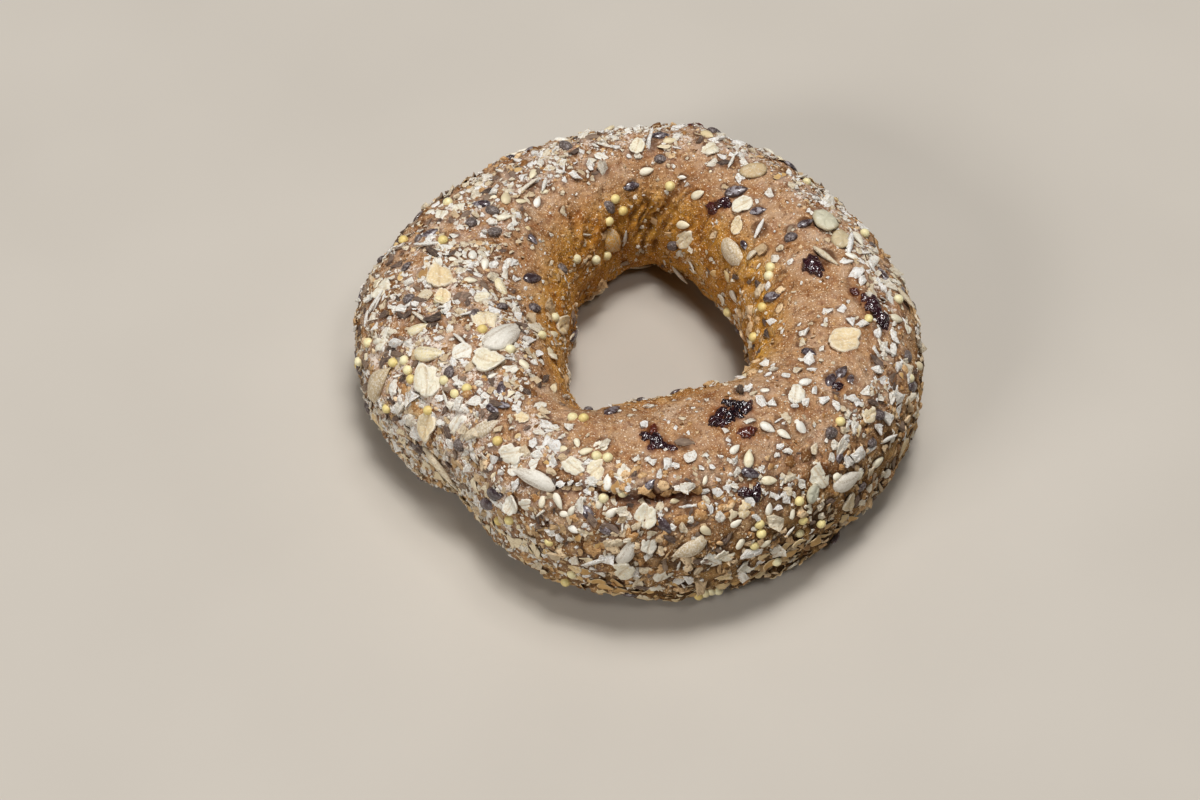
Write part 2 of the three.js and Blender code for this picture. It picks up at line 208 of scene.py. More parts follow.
CHIPS_SEEN = [
    (856, 274, 13, 20, 0.0), (862, 281, 12, 60, 0.0), (804, 334, 15, 50, 0.1), (810, 362, 13, 80, 0.0),
    (811, 371, 10, 10, 0.0), (794, 405, 12, 0, 0.1), (786, 377, 11, 10, 0.1), (747, 389, 10, 30, 0.1),
    (761, 403, 14, -30, 0.0), (846, 440, 13, 60, 0.1), (858, 453, 16, 20, 0.1), (709, 509, 12, 70, 0.0),
    (717, 141, 15, 10, 0.0), (740, 156, 14, -10, 0.1), (840, 309, 12, 0, 0.0), (828, 311, 10, 40, 0.1),
    (852, 321, 13, -50, 0.0), (863, 325, 13, 20, 0.1), (781, 249, 12, 30, 0.7), (847, 415, 14, 85, 0.5),
    (689, 577, 12, 80, 0.1), (752, 254, 13, 30, 0.6), (764, 250, 14, 5, 0.9), (775, 260, 10, 20, 0.4),
    (791, 262, 9, 40, 0.2), (760, 266, 9, 70, 0.3), (769, 286, 11, 60, 0.2), (772, 322, 11, -50, 0.0),
    (765, 363, 10, 60, 0.3), (768, 375, 12, 20, 0.0), (797, 371, 13, 25, 0.6), (532, 526, 7, 20, 0.2),
    (542, 523, 7, 30, 0.2), (523, 533, 11, -30, 0.0), (550, 534, 14, -10, 0.1), (560, 538, 12, -60, 0.0),
    (509, 531, 9, 70, 0.4), (525, 548, 13, 20, 0.5), (554, 556, 15, 5, 0.8), (537, 569, 11, 0, 0.7),
    (606, 559, 14, 30, 0.0), (575, 559, 12, 80, 0.5), (592, 572, 9, 0, 0.1), (632, 499, 7, 60, 0.1),
    (620, 523, 7, 20, 0.2), (748, 502, 13, -30, 0.0), (634, 572, 12, 35, 0.0), (639, 586, 12, 50, 0.7),
    (677, 582, 13, 70, 0.2), (704, 587, 16, 60, 0.9), (743, 555, 15, 40, 0.0), (752, 551, 20, 15, 0.1),
    (743, 578, 12, 80, 0.3), (847, 427, 10, 80, 0.4), (834, 446, 12, 10, 0.4), (812, 449, 12, 60, 0.7),
    (778, 446, 11, 0, 0.0), (787, 452, 12, -40, 0.2), (776, 457, 9, 30, 0.1), (831, 458, 12, 80, 0.3),
    (864, 509, 13, -10, 0.6), (820, 507, 11, 10, 0.6), (779, 496, 12, 30, 0.0), (771, 496, 10, -30, 0.2),
    (779, 509, 11, 30, 0.0), (841, 523, 13, 20, 0.8), (777, 552, 16, 10, 0.5), (761, 563, 13, 30, 0.1),
    (516, 280, 9, 30, 0.0), (396, 288, 10, 20, 0.1), (408, 284, 14, 10, 0.3), (417, 304, 11, 20, 0.0),
    (401, 308, 11, -20, 0.1), (397, 311, 10, 40, 0.2), (425, 297, 17, 20, 0.7), (440, 308, 9, -30, 0.1),
    (396, 343, 15, 10, 0.0), (409, 343, 14, -40, 0.2), (438, 340, 9, 10, 0.0), (429, 338, 8, 80, 0.5),
    (457, 302, 8, -60, 0.2), (472, 294, 9, 60, 0.0), (494, 311, 13, -20, 0.0), (518, 317, 12, -50, 0.1),
    (515, 311, 9, 30, 0.4), (484, 339, 14, 10, 0.2), (525, 333, 6, 0, 0.0), (468, 368, 15, 30, 0.8),
    (532, 377, 10, 20, 0.5), (414, 394, 14, 30, 0.0), (399, 400, 13, -50, 0.1), (399, 412, 13, 0, 0.0),
    (409, 418, 13, 20, 0.1), (404, 421, 10, 60, 0.0), (441, 398, 9, 0, 0.1), (478, 392, 9, 60, 0.0),
    (476, 401, 14, 10, 0.2), (463, 408, 14, -55, 0.2), (435, 417, 10, 60, 0.1), (418, 432, 17, 40, 0.1),
    (473, 433, 17, 20, 0.7), (496, 460, 11, 0, 0.0), (468, 468, 12, 0, 0.2), (477, 472, 10, -60, 0.0),
    (396, 444, 13, -50, 0.2), (514, 487, 13, 60, 0.0), (486, 476, 9, 20, 0.0), (491, 467, 8, 60, 0.1),
    (502, 473, 9, -20, 0.0), (654, 461, 11, 20, 0.1), (661, 474, 12, 60, 0.0), (669, 464, 16, 80, 0.1),
    (675, 467, 12, 20, 0.0), (689, 458, 16, 30, 0.2), (637, 458, 10, 60, 0.3), (646, 459, 9, 0, 0.1),
    (604, 443, 17, 30, 0.55), (590, 493, 10, 0, 0.0), (562, 483, 11, 20, 0.0), (570, 481, 9, 60, 0.1),
    (580, 484, 10, 0, 0.0), (596, 486, 9, 30, 0.1), (552, 481, 10, 0, 0.0), (688, 488, 18, 8, 0.4),
    (676, 487, 12, -10, 0.3), (706, 491, 11, 40, 0.1), (728, 486, 13, 20, 0.1), (556, 428, 12, 20, 0.3),
    (549, 431, 11, -30, 0.1), (562, 436, 9, 0, 0.2), (542, 424, 10, 40, 0.0), (571, 427, 12, 10, 0.4),
    (619, 412, 10, 0, 0.3), (674, 402, 7, 0, 0.2), (689, 398, 6, 0, 0.3), (748, 390, 10, 30, 0.0),
    (773, 405, 10, 60, 0.1), (750, 420, 13, 20, 0.4), (783, 424, 8, 0, 0.0), (728, 444, 7, 0, 0.0),
    (805, 405, 9, 60, 0.1), (822, 400, 12, 10, 0.0), (815, 392, 9, 40, 0.1), (852, 398, 14, -20, 0.1),
    (860, 404, 10, 20, 0.0), (866, 392, 10, 60, 0.3), (893, 338, 14, -60, 0.1), (886, 352, 12, -40, 0.0),
    (899, 366, 13, 70, 0.1), (905, 378, 11, 60, 0.2), (878, 372, 12, -20, 0.1), (892, 398, 14, 80, 0.3),
    (898, 410, 13, 60, 0.1), (886, 420, 14, -50, 0.2), (877, 428, 12, 20, 0.0), (905, 436, 11, 70, 0.0),
    (868, 452, 12, 20, 0.0), (848, 462, 13, -30, 0.1), (860, 262, 12, -40, 0.0), (872, 270, 12, -50, 0.1),
    (880, 284, 11, -60, 0.0), (888, 300, 12, -60, 0.2), (846, 262, 11, 10, 0.1), (868, 255, 10, -40, 0.2),
]
STICKS_SEEN = [
    (689, 505, 17, 3, 0.0), (760, 229, 22, 70, 0.1), (624, 238, 17, 88, 0.2), (849, 245, 24, 86, 0.0),
    (431, 247, 28, 15, 0.2), (528, 185, 22, 25, 0.5), (468, 314, 20, 25, 0.1), (824, 258, 27, -30, 0.7),
    (639, 270, 22, 0, 0.5), (681, 274, 22, -40, 0.4), (693, 264, 14, -60, 0.4), (606, 146, 16, -20, 0.4),
    (903, 299, 30, -65, 0.7), (376, 306, 28, 55, 0.2), (888, 436, 16, 40, 0.2), (649, 144, 20, 70, 0.0),
    (534, 514, 10, -75, 0.4), (542, 512, 10, 35, 0.4), (597, 561, 27, 12, 0.1), (686, 588, 11, -70, 0.0),
    (680, 565, 10, 70, 0.3), (790, 532, 15, 50, 0.3), (879, 486, 15, 80, 0.8), (820, 541, 15, -40, 0.8),
    (423, 317, 16, -40, 0.5), (464, 341, 17, -45, 0.3), (497, 355, 21, -5, 0.2), (507, 359, 13, -10, 0.0),
    (447, 399, 17, -70, 0.3), (443, 467, 46, -52, 0.7), (452, 482, 26, -45, 0.6), (359, 300, 14, 40, 0.3),
    (355, 330, 15, 60, 0.2), (368, 318, 17, 70, 0.0), (378, 303, 15, 50, 0.1), (372, 404, 13, -85, 0.3),
    (385, 430, 14, -30, 0.4),
]
LUMPS_SEEN = [
    (626, 474, 14, 20, 0.8), (636, 471, 13, 60, 0.7), (630, 481, 12, 0, 0.6), (645, 488, 13, 30, 0.7),
    (651, 494, 11, 10, 0.5), (660, 486, 14, -10, 0.8), (668, 492, 12, 20, 0.6), (677, 489, 12, 0, 0.7),
    (687, 489, 12, 30, 0.8), (696, 491, 11, -20, 0.6), (567, 488, 12, 10, 0.9), (577, 489, 13, 0, 0.8),
    (589, 490, 11, 10, 0.9), (606, 487, 10, 40, 0.6), (716, 496, 13, 20, 0.7), (722, 508, 13, 0, 0.5),
    (733, 504, 11, 30, 0.6), (617, 467, 9, 30, 0.7), (641, 478, 10, 30, 0.7), (590, 551, 22, 10, 0.6),
    (601, 547, 14, 40, 0.6), (782, 277, 15, 20, 0.35), (727, 270, 9, -60, 0.9), (740, 311, 10, -60, 0.9),
    (737, 318, 10, 40, 0.8), (752, 312, 12, 30, 0.9), (750, 320, 11, 80, 0.85), (751, 328, 12, 80, 0.8),
    (757, 320, 10, -50, 0.7), (743, 335, 10, 0, 0.95), (749, 333, 10, 40, 0.9), (752, 372, 12, 80, 0.8),
    (757, 362, 10, 60, 0.85), (779, 309, 14, 50, 0.9), (780, 289, 10, 20, 0.95), (762, 340, 10, 70, 0.7),
    (529, 561, 18, -5, 0.45), (553, 570, 10, 10, 0.6), (642, 563, 10, 80, 0.5), (722, 510, 13, 10, 0.85),
    (732, 508, 12, 40, 0.9), (678, 592, 14, 10, 0.75), (800, 512, 10, 40, 0.8), (588, 546, 20, 10, 0.4),
    (660, 518, 12, 70, 0.5), (680, 522, 16, 10, 0.45), (668, 530, 12, 40, 0.6), (700, 516, 14, -20, 0.5),
    (415, 406, 14, 0, 0.45), (532, 351, 11, 20, 0.4), (483, 329, 10, 30, 0.8),
]
HUSKS_SEEN = [
    (876, 362, 20, -55, 0.3), (901, 427, 25, -50, 0.7), (470, 295, 18, 30, 0.6), (448, 373, 16, -40, 0.2),
    (892, 378, 18, 40, 0.5), (871, 402, 14, -20, 0.2), (613, 527, 22, -20, 0.4), (590, 520, 20, -50, 0.5),
    (366, 386, 24, 70, 0.7), (492, 380, 16, -70, 0.3), (497, 404, 18, -10, 0.3), (545, 380, 16, 60, 0.2),
    (540, 385, 14, -70, 0.1), (420, 300, 16, 0, 0.4), (700, 560, 18, 10, 0.5), (640, 590, 16, 0, 0.4),
    (830, 500, 18, 20, 0.4), (858, 500, 16, 70, 0.4), (880, 330, 16, -60, 0.1), (735, 277, 14, -20, 0.3),
    (757, 285, 16, -70, 0.1), (749, 283, 12, 20, 0.5), (764, 322, 14, -60, 0.2), (766, 334, 16, -75, 0.0),
    (754, 347, 14, -60, 0.0), (749, 361, 20, 78, 0.7), (759, 352, 14, -80, 0.2), (486, 508, 18, -20, 0.4),
    (542, 552, 16, -70, 0.1), (671, 540, 18, -20, 0.2), (877, 502, 17, 60, 0.4), (873, 478, 13, 70, 0.9),
    (700, 541, 12, 40, 0.4), (420, 288, 13, -30, 0.7), (383, 315, 18, 10, 0.4), (397, 353, 18, 5, 0.5),
    (402, 378, 15, 70, 0.1), (391, 401, 13, -60, 0.2), (493, 418, 18, 20, 0.0), (423, 450, 19, -35, 0.1),
    (447, 464, 15, -60, 0.2), (472, 480, 13, 70, 0.3), (740, 391, 19, -62, 0.1), (357, 345, 15, 80, 0.4),
    (363, 288, 16, 40, 0.5), (376, 276, 14, 20, 0.7), (356, 372, 14, -60, 0.6), (390, 262, 15, 50, 0.4),
    (683, 443, 21, 0, 0.65),
]
BRAN_SEEN = [
    (862, 514, 24, 35, 0.6), (851, 522, 26, 28, 0.7), (838, 529, 26, 28, 0.7), (826, 535, 22, 25, 0.5),
    (815, 541, 24, 28, 0.7), (803, 547, 24, 28, 0.6), (792, 553, 22, 28, 0.7), (781, 559, 22, 28, 0.5),
    (770, 564, 22, 30, 0.7), (759, 570, 20, 30, 0.5), (748, 576, 20, 25, 0.6), (738, 583, 22, 15, 0.7),
    (845, 517, 20, 30, 0.4), (830, 524, 18, 30, 0.6), (800, 541, 20, 25, 0.4), (786, 546, 20, 28, 0.5),
    (765, 557, 18, 28, 0.4), (757, 578, 10, 80, 0.3), (592, 587, 22, -20, 0.6), (606, 592, 24, -10, 0.7),
    (620, 594, 22, -5, 0.8), (634, 595, 22, 0, 0.7), (648, 596, 18, 5, 0.6), (578, 580, 18, -30, 0.5),
    (585, 575, 18, -20, 0.8), (600, 584, 20, -15, 0.7), (615, 586, 20, -5, 0.8), (632, 588, 18, 0, 0.7),
    (550, 569, 16, -40, 0.5), (541, 560, 18, -45, 0.4), (526, 552, 18, -45, 0.3), (533, 546, 14, -40, 0.2),
    (512, 541, 20, -45, 0.1), (500, 534, 18, -40, 0.1), (490, 524, 18, -45, 0.2), (480, 513, 18, -45, 0.3),
    (468, 503, 18, -45, 0.1), (458, 492, 22, -42, 0.1), (436, 476, 26, -40, 0.2), (424, 466, 22, -40, 0.1),
    (446, 484, 20, -40, 0.3),
]

# Creases seen in the image: depth and width in millimetres, then places along each one
CREASES_SEEN = [
    (1.2, 0.7, (684, 180), (676, 193), (666, 205), (656, 218), (649, 231), (643, 244), (640, 258)),
    (0.8, 0.5, (692, 190), (680, 202), (670, 216), (660, 232), (653, 250)),
    (0.7, 0.5, (660, 203), (650, 212), (643, 224), (636, 240)),
    (0.6, 0.5, (645, 200), (637, 212), (631, 226)),
    (0.5, 0.5, (700, 215), (690, 226), (683, 238), (678, 254)),
    (0.6, 0.5, (716, 205), (708, 216), (700, 232), (697, 250)),
    (0.9, 0.5, (571, 218), (574, 230), (577, 242)),
    (0.5, 0.5, (590, 222), (586, 240), (577, 262)),
    (0.6, 0.5, (560, 262), (568, 280), (570, 300), (566, 322)),
    (0.7, 0.5, (507, 312), (506, 322)),
    (0.6, 0.6, (512, 352), (518, 362), (517, 376), (507, 384)),
    (0.5, 0.5, (528, 352), (524, 366), (526, 382), (520, 394)),
    (0.5, 0.5, (540, 356), (545, 368), (541, 384)),
    (0.9, 0.6, (848, 276), (851, 290), (860, 302), (872, 314), (884, 326)),
    (0.7, 0.5, (868, 284), (876, 294), (884, 306)),
    (0.8, 0.5, (778, 300), (786, 290), (792, 284)),
    (0.7, 0.5, (766, 322), (772, 334), (772, 346)),
    (0.7, 0.6, (562, 545), (572, 540), (583, 541), (596, 548), (606, 546)),
    (0.6, 0.5, (640, 541), (652, 548), (664, 560), (676, 561)),
    (0.6, 0.5, (655, 500), (662, 507), (676, 509), (690, 505)),
    (0.7, 0.5, (586, 580), (600, 588), (618, 592), (640, 592)),
    (0.7, 0.5, (570, 588), (590, 598), (612, 604), (636, 602)),
    (0.6, 0.5, (690, 572), (704, 577), (720, 566), (736, 558)),
    (0.6, 0.5, (546, 520), (552, 532), (549, 548)),
    (0.9, 0.5, (696, 406), (701, 407)),
    (0.8, 0.5, (697, 429), (702, 429)),
]


def srgb(red, green, blue):
    """A display colour, 0 to 255, as linear light."""
    parts = np.array([red, green, blue]) / 255
    linear = np.where(parts <= 0.04045, parts / 12.92, ((parts + 0.055) / 1.055) ** 2.4)
    return (*linear.tolist(), 1.0)


def signed_power(value, power):
    return np.sign(value) * np.abs(value) ** power


def bell(offset, width):
    return np.exp(-((offset / width) ** 2))


def smoothstep(value, low, high):
    part = np.clip((value - low) / (high - low), 0, 1)
    return part * part * (3 - 2 * part)


def ring_offset(ring, start):
    return np.mod(ring - start + 180, 360) - 180


def near(ring, place, width):
    """1 at this ring angle, and next to nothing from about twice the width on."""
    return bell(ring_offset(ring, place), width)


def round_the_ring(values, ring):
    """Station values at any ring angle, on a smooth closed curve."""
    count = len(values)
    place = np.mod(ring / 360, 1) * count
    index = np.floor(place).astype(int)
    part = place - index
    before, here, after, beyond = (values[(index + step) % count] for step in (-1, 0, 1, 2))
    square = part * part
    return 0.5 * (
        2 * here
        + (after - before) * part
        + (2 * before - 5 * here + 4 * after - beyond) * square
        + (3 * here - before - 3 * after + beyond) * square * part
    )


def relief(ring, section):
    """How far the crust stands out from the smooth dough, as in the solid."""
    turn = np.radians(ring)
    tilt = np.radians(section)
    out = np.sin(3 * turn + 0.7) * np.cos(2 * tilt - 0.5)
    out = out + 0.7 * np.sin(7 * turn + 1.9) * np.cos(3 * tilt + 0.4)
    out = out + 0.5 * np.sin(13 * turn) * np.sin(4 * tilt + 1.1)
    out = out * LUMP_HEIGHT
    seam_ring = SEAM["ring"] - SEAM["lean"] * (1 - section / 90)
    out = out - SEAM["depth"] * near(ring, seam_ring, SEAM["width"])
    out = out + SEAM_SWELL["height"] * near(ring, SEAM_SWELL["ring"], SEAM_SWELL["width"])
    for fold in FOLDS:
        across = bell(section - fold["section"], fold["spread"])
        out = out - fold["depth"] * near(ring, fold["ring"], fold["width"]) * across
    lip = SHOULDER_LIP
    across = bell(section - lip["section"], lip["spread"])
    out = out + lip["height"] * near(ring, lip["ring"], lip["width"]) * across
    return out * foot_fade(section)


def foot_fade(section):
    above_base = np.minimum(section - FLANK_FOOT_ANGLE, HOLE_FOOT_ANGLE - section)
    return smoothstep(above_base, 0, FADE_ANGLE)


def dough_point(ring, section):
    """Points on the smooth dough, before its relief."""
    hole = round_the_ring(STATIONS[:, 0], ring)
    outer = round_the_ring(STATIONS[:, 1], ring)
    height = round_the_ring(STATIONS[:, 2], ring)
    widest = WIDEST_SHARE * height
    rise = np.sin(np.radians(section))
    power = np.where(rise > 0, 2 / TOP_POWER, 2 / FOOT_POWER)
    reach = np.where(rise > 0, height - widest, widest + FOOT_CUT)
    radius = (hole + outer) / 2 + (outer - hole) / 2 * signed_power(np.cos(np.radians(section)), power)
    return np.stack([
        radius * np.cos(np.radians(ring)) - BOX_MIDDLE[0],
        radius * np.sin(np.radians(ring)) - BOX_MIDDLE[1],
        np.maximum(0, widest + reach * signed_power(rise, power)),
    ], axis=-1)


def unit(vectors):
    return vectors / np.linalg.norm(vectors, axis=-1, keepdims=True)


def surface_axes(ring, section, step=0.5):
    """Directions along the ring, up the section and straight out."""
    along = unit(dough_point(ring + step, section) - dough_point(ring - step, section))
    up = dough_point(ring, section + step) - dough_point(ring, section - step)
    out = unit(np.cross(along, up))
    turn = np.radians(ring)
    base = (section > HOLE_FOOT_ANGLE)[..., None]
    along = np.where(base, np.stack([-np.sin(turn), np.cos(turn), 0 * turn], axis=-1), along)
    out = np.where(base, (0, 0, -1), out)
    return along, np.cross(out, along), out


def crust_point(ring, section):
    out = surface_axes(ring, section)[2]
    return dough_point(ring, section) + out * relief(ring, section)[..., None]


def value_noise(points, cell, seed):
    """Smooth noise from -1 to 1 with this cell size."""
    scaled = points / cell + 31.7 * seed
    base = np.floor(scaled).astype(np.int64)
    part = scaled - base
    part = part * part * (3 - 2 * part)
    total = np.zeros(points.shape[:-1])
    for corner in np.ndindex(2, 2, 2):
        mixed = (base + corner) @ np.array([73856093, 19349663, 83492791])
        mixed = (mixed ^ (mixed >> 13)) * 1274126177
        height = ((mixed ^ (mixed >> 16)) & 0xFFFF) / 0x7FFF - 1
        weight = np.prod(np.where(corner, part, 1 - part), axis=-1)
        total += weight * height
    return total


# ---- Camera and its view of the crust ----

def camera_axes():
    """The camera's place and its right, up and forward directions."""
    elevation = math.radians(CAMERA_ELEVATION)
    forward = np.array([0, math.cos(elevation), -math.sin(elevation)])
    right = np.array([1.0, 0, 0])
    return np.array(CAMERA_TARGET) - forward * CAMERA_DISTANCE, right, np.cross(right, forward), forward


def to_image(points):
    """Where points fall in the image, and how far they are from the camera."""
    place, right, up, forward = camera_axes()
    away = points - place
    depth = away @ forward
    focal = LENS / SENSOR_WIDTH * IMAGE_SIZE[0]
    across = IMAGE_SIZE[0] / 2 + focal * (away @ right) / depth
    down = IMAGE_SIZE[1] / 2 - focal * (away @ up) / depth
    return across, down, depth


def add_camera():
    camera_data = bpy.data.cameras.new("camera")
    camera_data.sensor_width = SENSOR_WIDTH
    camera_data.lens = LENS
    camera = bpy.data.objects.new("camera", camera_data)
    place = camera_axes()[0]
    camera.location = place * MM
    camera.rotation_euler = (math.radians(90 - CAMERA_ELEVATION), 0, 0)
    bpy.context.collection.objects.link(camera)
    bpy.context.scene.camera = camera


# ---- Meshes ----

def add_mesh(name, points, faces, material, smooth=True, **attributes):
    """A mesh object from points in millimetres and faces with the same number of corners each."""
    mesh = bpy.data.meshes.new(name)
    corners = faces.shape[1]
    mesh.vertices.add(len(points))
    mesh.vertices.foreach_set("co", (points * MM).astype(np.float32).ravel())
    mesh.loops.add(faces.size)
    mesh.loops.foreach_set("vertex_index", faces.astype(np.int32).ravel())
    mesh.polygons.add(len(faces))
    mesh.polygons.foreach_set("loop_start", np.arange(0, faces.size, corners, dtype=np.int32))
    mesh.polygons.foreach_set("use_smooth", np.full(len(faces), smooth))
    mesh.update(calc_edges=True)
    for label, values in attributes.items():
        if values.ndim == 2:
            layer = mesh.attributes.new(label, "FLOAT_VECTOR", "POINT")
            layer.data.foreach_set("vector", values.astype(np.float32).ravel())
        else:
            layer = mesh.attributes.new(label, "FLOAT", "POINT")
            layer.data.foreach_set("value", values.astype(np.float32))
    mesh.materials.append(material)
    thing = bpy.data.objects.new(name, mesh)
    bpy.context.collection.objects.link(thing)
    return thing


def grid_faces(columns, rows):
    """Quads of a grid closed on itself both ways, whose points run row by row within each column."""
    column, row = np.meshgrid(np.arange(columns), np.arange(rows), indexing="ij")
    beside = (column + 1) % columns
    above = (row + 1) % rows
    quads = [column * rows + row, beside * rows + row, beside * rows + above, column * rows + above]
    return np.stack(quads, axis=-1).reshape(-1, 4)


# ---- Material nodes ----

class Paint:
    """A node material whose base colour is laid on step by step. Display colours are 0 to 255."""

    def __init__(self, name, roughness, specular=0.4):
        self.material = bpy.data.materials.new(name)
        self.material.use_nodes = True
        self.tree = self.material.node_tree
        self.shader = self.tree.nodes["Principled BSDF"]
        self.plug(self.shader.inputs, {"Specular IOR Level": specular, "Roughness": roughness})
        self.place = self.node("ShaderNodeTexCoord").outputs["Object"]
        self.colour = None
        self.normal = None

    def plug(self, sockets, values):
        """Links the sockets to nodes, or sets them to constants."""
        for key, value in values.items():
            if isinstance(value, bpy.types.NodeSocket):
                self.tree.links.new(value, sockets[key])
            else:
                sockets[key].default_value = value

    def node(self, kind, values=None, **settings):
        node = self.tree.nodes.new(kind)
        for key, value in settings.items():
            setattr(node, key, value)
        self.plug(node.inputs, values or {})
        return node

    def attribute(self, name, output="Fac"):
        return self.node("ShaderNodeAttribute", attribute_name=name).outputs[output]

    def parts(self, vector):
        return self.node("ShaderNodeSeparateXYZ", {0: vector}).outputs[:]

    def combined(self, first, second, operation="MULTIPLY"):
        return self.node("ShaderNodeVectorMath", {0: first, 1: second}, operation=operation).outputs["Vector"]

    def local(self, *stretch):
        """Where the point is on its piece, along it, across it and up, each times its stretch."""
        return self.combined(self.attribute("local", "Vector"), stretch)

    def own(self, *stretch):
        """The same, moved differently for every piece."""
        return self.combined(self.local(*stretch), self.attribute("tone", "Vector"), "ADD")

    def noise(self, size, detail=2.0, roughness=0.5, vector=None):
        """Noise of this size in millimetres, or in the vector's own units."""
        vector, unit_size = (self.place, MM) if vector is None else (vector, 1)
        values = {"Vector": vector, "Scale": 1 / (size * unit_size), "Detail": detail, "Roughness": roughness}
        return self.node("ShaderNodeTexNoise", values).outputs["Fac"]

    def between(self, value, low, high, most=1.0):
        """From 0 at low to most at high."""
        values = {"Value": value, "From Min": low, "From Max": high, "To Min": 0, "To Max": most}
        return self.node("ShaderNodeMapRange", values, interpolation_type="SMOOTHSTEP").outputs["Result"]

    def math(self, operation, *values):
        return self.node("ShaderNodeMath", dict(enumerate(values)), operation=operation).outputs["Value"]

    def mix(self, share, first, second):
        values = {"Factor": share, "A": first, "B": second}
        values.update({key: srgb(*value) for key, value in values.items() if isinstance(value, tuple)})
        return self.node("ShaderNodeMix", values, data_type="RGBA").outputs["Result"]

    def ramp(self, value, *stops):
        node = self.node("ShaderNodeValToRGB", {"Fac": value})
        elements = node.color_ramp.elements
        while len(elements) < len(stops):
            elements.new(0.5)
        for element, (position, colour) in zip(elements, stops):
            element.position, element.color = position, srgb(*colour)
        return node.outputs["Color"]

    def lay(self, share, colour):
        """Lays a colour over what was painted before."""
        self.colour = self.mix(share, self.colour, colour)

    def lay_where(self, value, low, high, most, colour):
        """Lays a colour where the value goes from low to high."""
        self.lay(self.between(value, low, high, most), colour)

    def bump(self, height, strength, depth):
        """Raises the surface where height is large, over what was raised before."""
        values = {"Height": height, "Strength": strength, "Distance": depth * MM}
        if self.normal is not None:
            values["Normal"] = self.normal
        self.normal = self.node("ShaderNodeBump", values).outputs["Normal"]

    def finish(self):
        self.plug(self.shader.inputs, {"Base Color": self.colour})
        if self.normal is not None:
            self.plug(self.shader.inputs, {"Normal": self.normal})
        return self.material


def crust_material():
    paint = Paint("crust", roughness=0.7, specular=0.15)
    golden, dusty, flank = (paint.attribute(name) for name in ("golden", "dusty", "flank"))
    patches = paint.noise(7.0, detail=5.0, roughness=0.65)

    def patchy(dark, light):
        return paint.ramp(patches, (0.34, dark), (0.66, light))

    crest = [(0.34, (168, 122, 80)), (0.5, (188, 149, 112)), (0.66, (204, 174, 146))]
    paint.colour = paint.ramp(patches, *crest)
    paint.lay(golden, patchy((184, 124, 46), (214, 164, 76)))
    paint.lay(flank, patchy((134, 98, 46), (188, 150, 90)))
    paint.lay(paint.attribute("toasted"), patchy((142, 92, 46), (196, 148, 92)))
    # Painted highlight on the tops of the raised ledges, partly the ledges' own golden colour
    paint.lay(paint.attribute("ledge_highlight"), paint.mix(golden, (218, 178, 118), (224, 184, 124)))
    paint.lay_where(paint.noise(2.6, detail=4.0, roughness=0.65), 0.5, 0.64, 0.4, (142, 82, 38))
    # Partly the crust's own speckle, partly painted shade in the pits and painted highlight on the tops of
    # the bumps made from the same noise
    crumb = paint.noise(1.2, detail=3.0, roughness=0.6)
    paint.lay_where(crumb, 0.44, 0.34, 0.5, (110, 66, 30))
    paint.lay_where(crumb, 0.56, 0.66, 0.3, (236, 192, 140))
    grain = paint.noise(0.5, detail=2.0, roughness=0.7)
    paint.lay_where(grain, 0.38, 0.3, 0.35, (108, 60, 24))
    paint.lay_where(grain, 0.61, 0.68, 0.6, (250, 222, 182))
    glint = paint.noise(0.32, detail=1.0)
    paint.lay_where(glint, 0.66, 0.69, 0.95, (255, 242, 220))
    paint.lay_where(glint, 0.34, 0.3, 0.5, (112, 66, 30))
    paint.lay(paint.attribute("stain"), (146, 84, 42))
    # Painted shade under and between the pieces and in the pits of the relief, darker on the flank
    paint.lay(paint.attribute("hollow"), paint.mix(flank, (86, 46, 16), (42, 24, 6)))
    # Painted shade down in the tear and along the creases
    paint.lay(paint.attribute("deep"), (92, 46, 12))
    film = paint.between(paint.noise(3.0, detail=4.0, roughness=0.6), 0.44, 0.6, most=0.3)
    paint.lay(paint.math("MULTIPLY", film, dusty), (226, 207, 194))
    cloud = paint.noise(5.0, detail=4.0, roughness=0.6)
    powder = paint.noise(0.6, detail=5.0, roughness=0.8)
    clumped = paint.math("ADD", paint.math("MULTIPLY", cloud, 0.45), paint.math("MULTIPLY", powder, 0.55))
    clumped = paint.math("ADD", clumped, paint.math("MULTIPLY_ADD", dusty, 0.14, -0.14))
    paint.lay_where(clumped, 0.525, 0.555, 0.75, (242, 232, 222))
    paint.bump(paint.noise(1.8, detail=5.0, roughness=0.65), 1.0, 0.8)
    paint.bump(crumb, 1.0, 0.35)
    paint.bump(grain, 1.0, 0.15)
    return paint.finish()


def topping_paint(name, roughness, tones, specular=0.4):
    """A paint that starts from the piece's own tone, and the three numbers drawn for each piece."""
    paint = Paint(name, roughness, specular)
    drawn = paint.parts(paint.attribute("tone", "Vector"))
    stops = [(place / (len(tones) - 1), tone) for place, tone in enumerate(tones)]
    paint.colour = paint.ramp(drawn[0], *stops)
    return paint, drawn


def flake_material():
    paint, _ = topping_paint("oat_flake", 0.7, [(232, 229, 220), (230, 222, 198), (228, 202, 154)])
    _, y, edge = paint.parts(paint.attribute("local", "Vector"))
    own = paint.own(1.0, 1.0, 1.0)
    paint.lay_where(paint.noise(0.22, detail=3.0, vector=own), 0.5, 0.7, 0.45, (206, 178, 134))
    paint.lay_where(paint.math("ABSOLUTE", y), 0.07, 0.0, 0.4, (176, 140, 92))
    streaks = paint.noise(1.0, detail=3.0, vector=paint.combined(own, (2.5, 15.0, 1.0)))
    paint.lay_where(streaks, 0.5, 0.68, 0.4, (198, 176, 140))
    paint.lay_where(edge, 0.75, 1.0, 0.4, (244, 240, 230))
    dust = paint.noise(0.4, detail=3.0, roughness=0.7)
    paint.lay_where(dust, 0.5, 0.66, 0.5, (246, 243, 238))
    paint.bump(paint.noise(0.5, detail=3.0), 0.6, 0.15)
    return paint.finish()


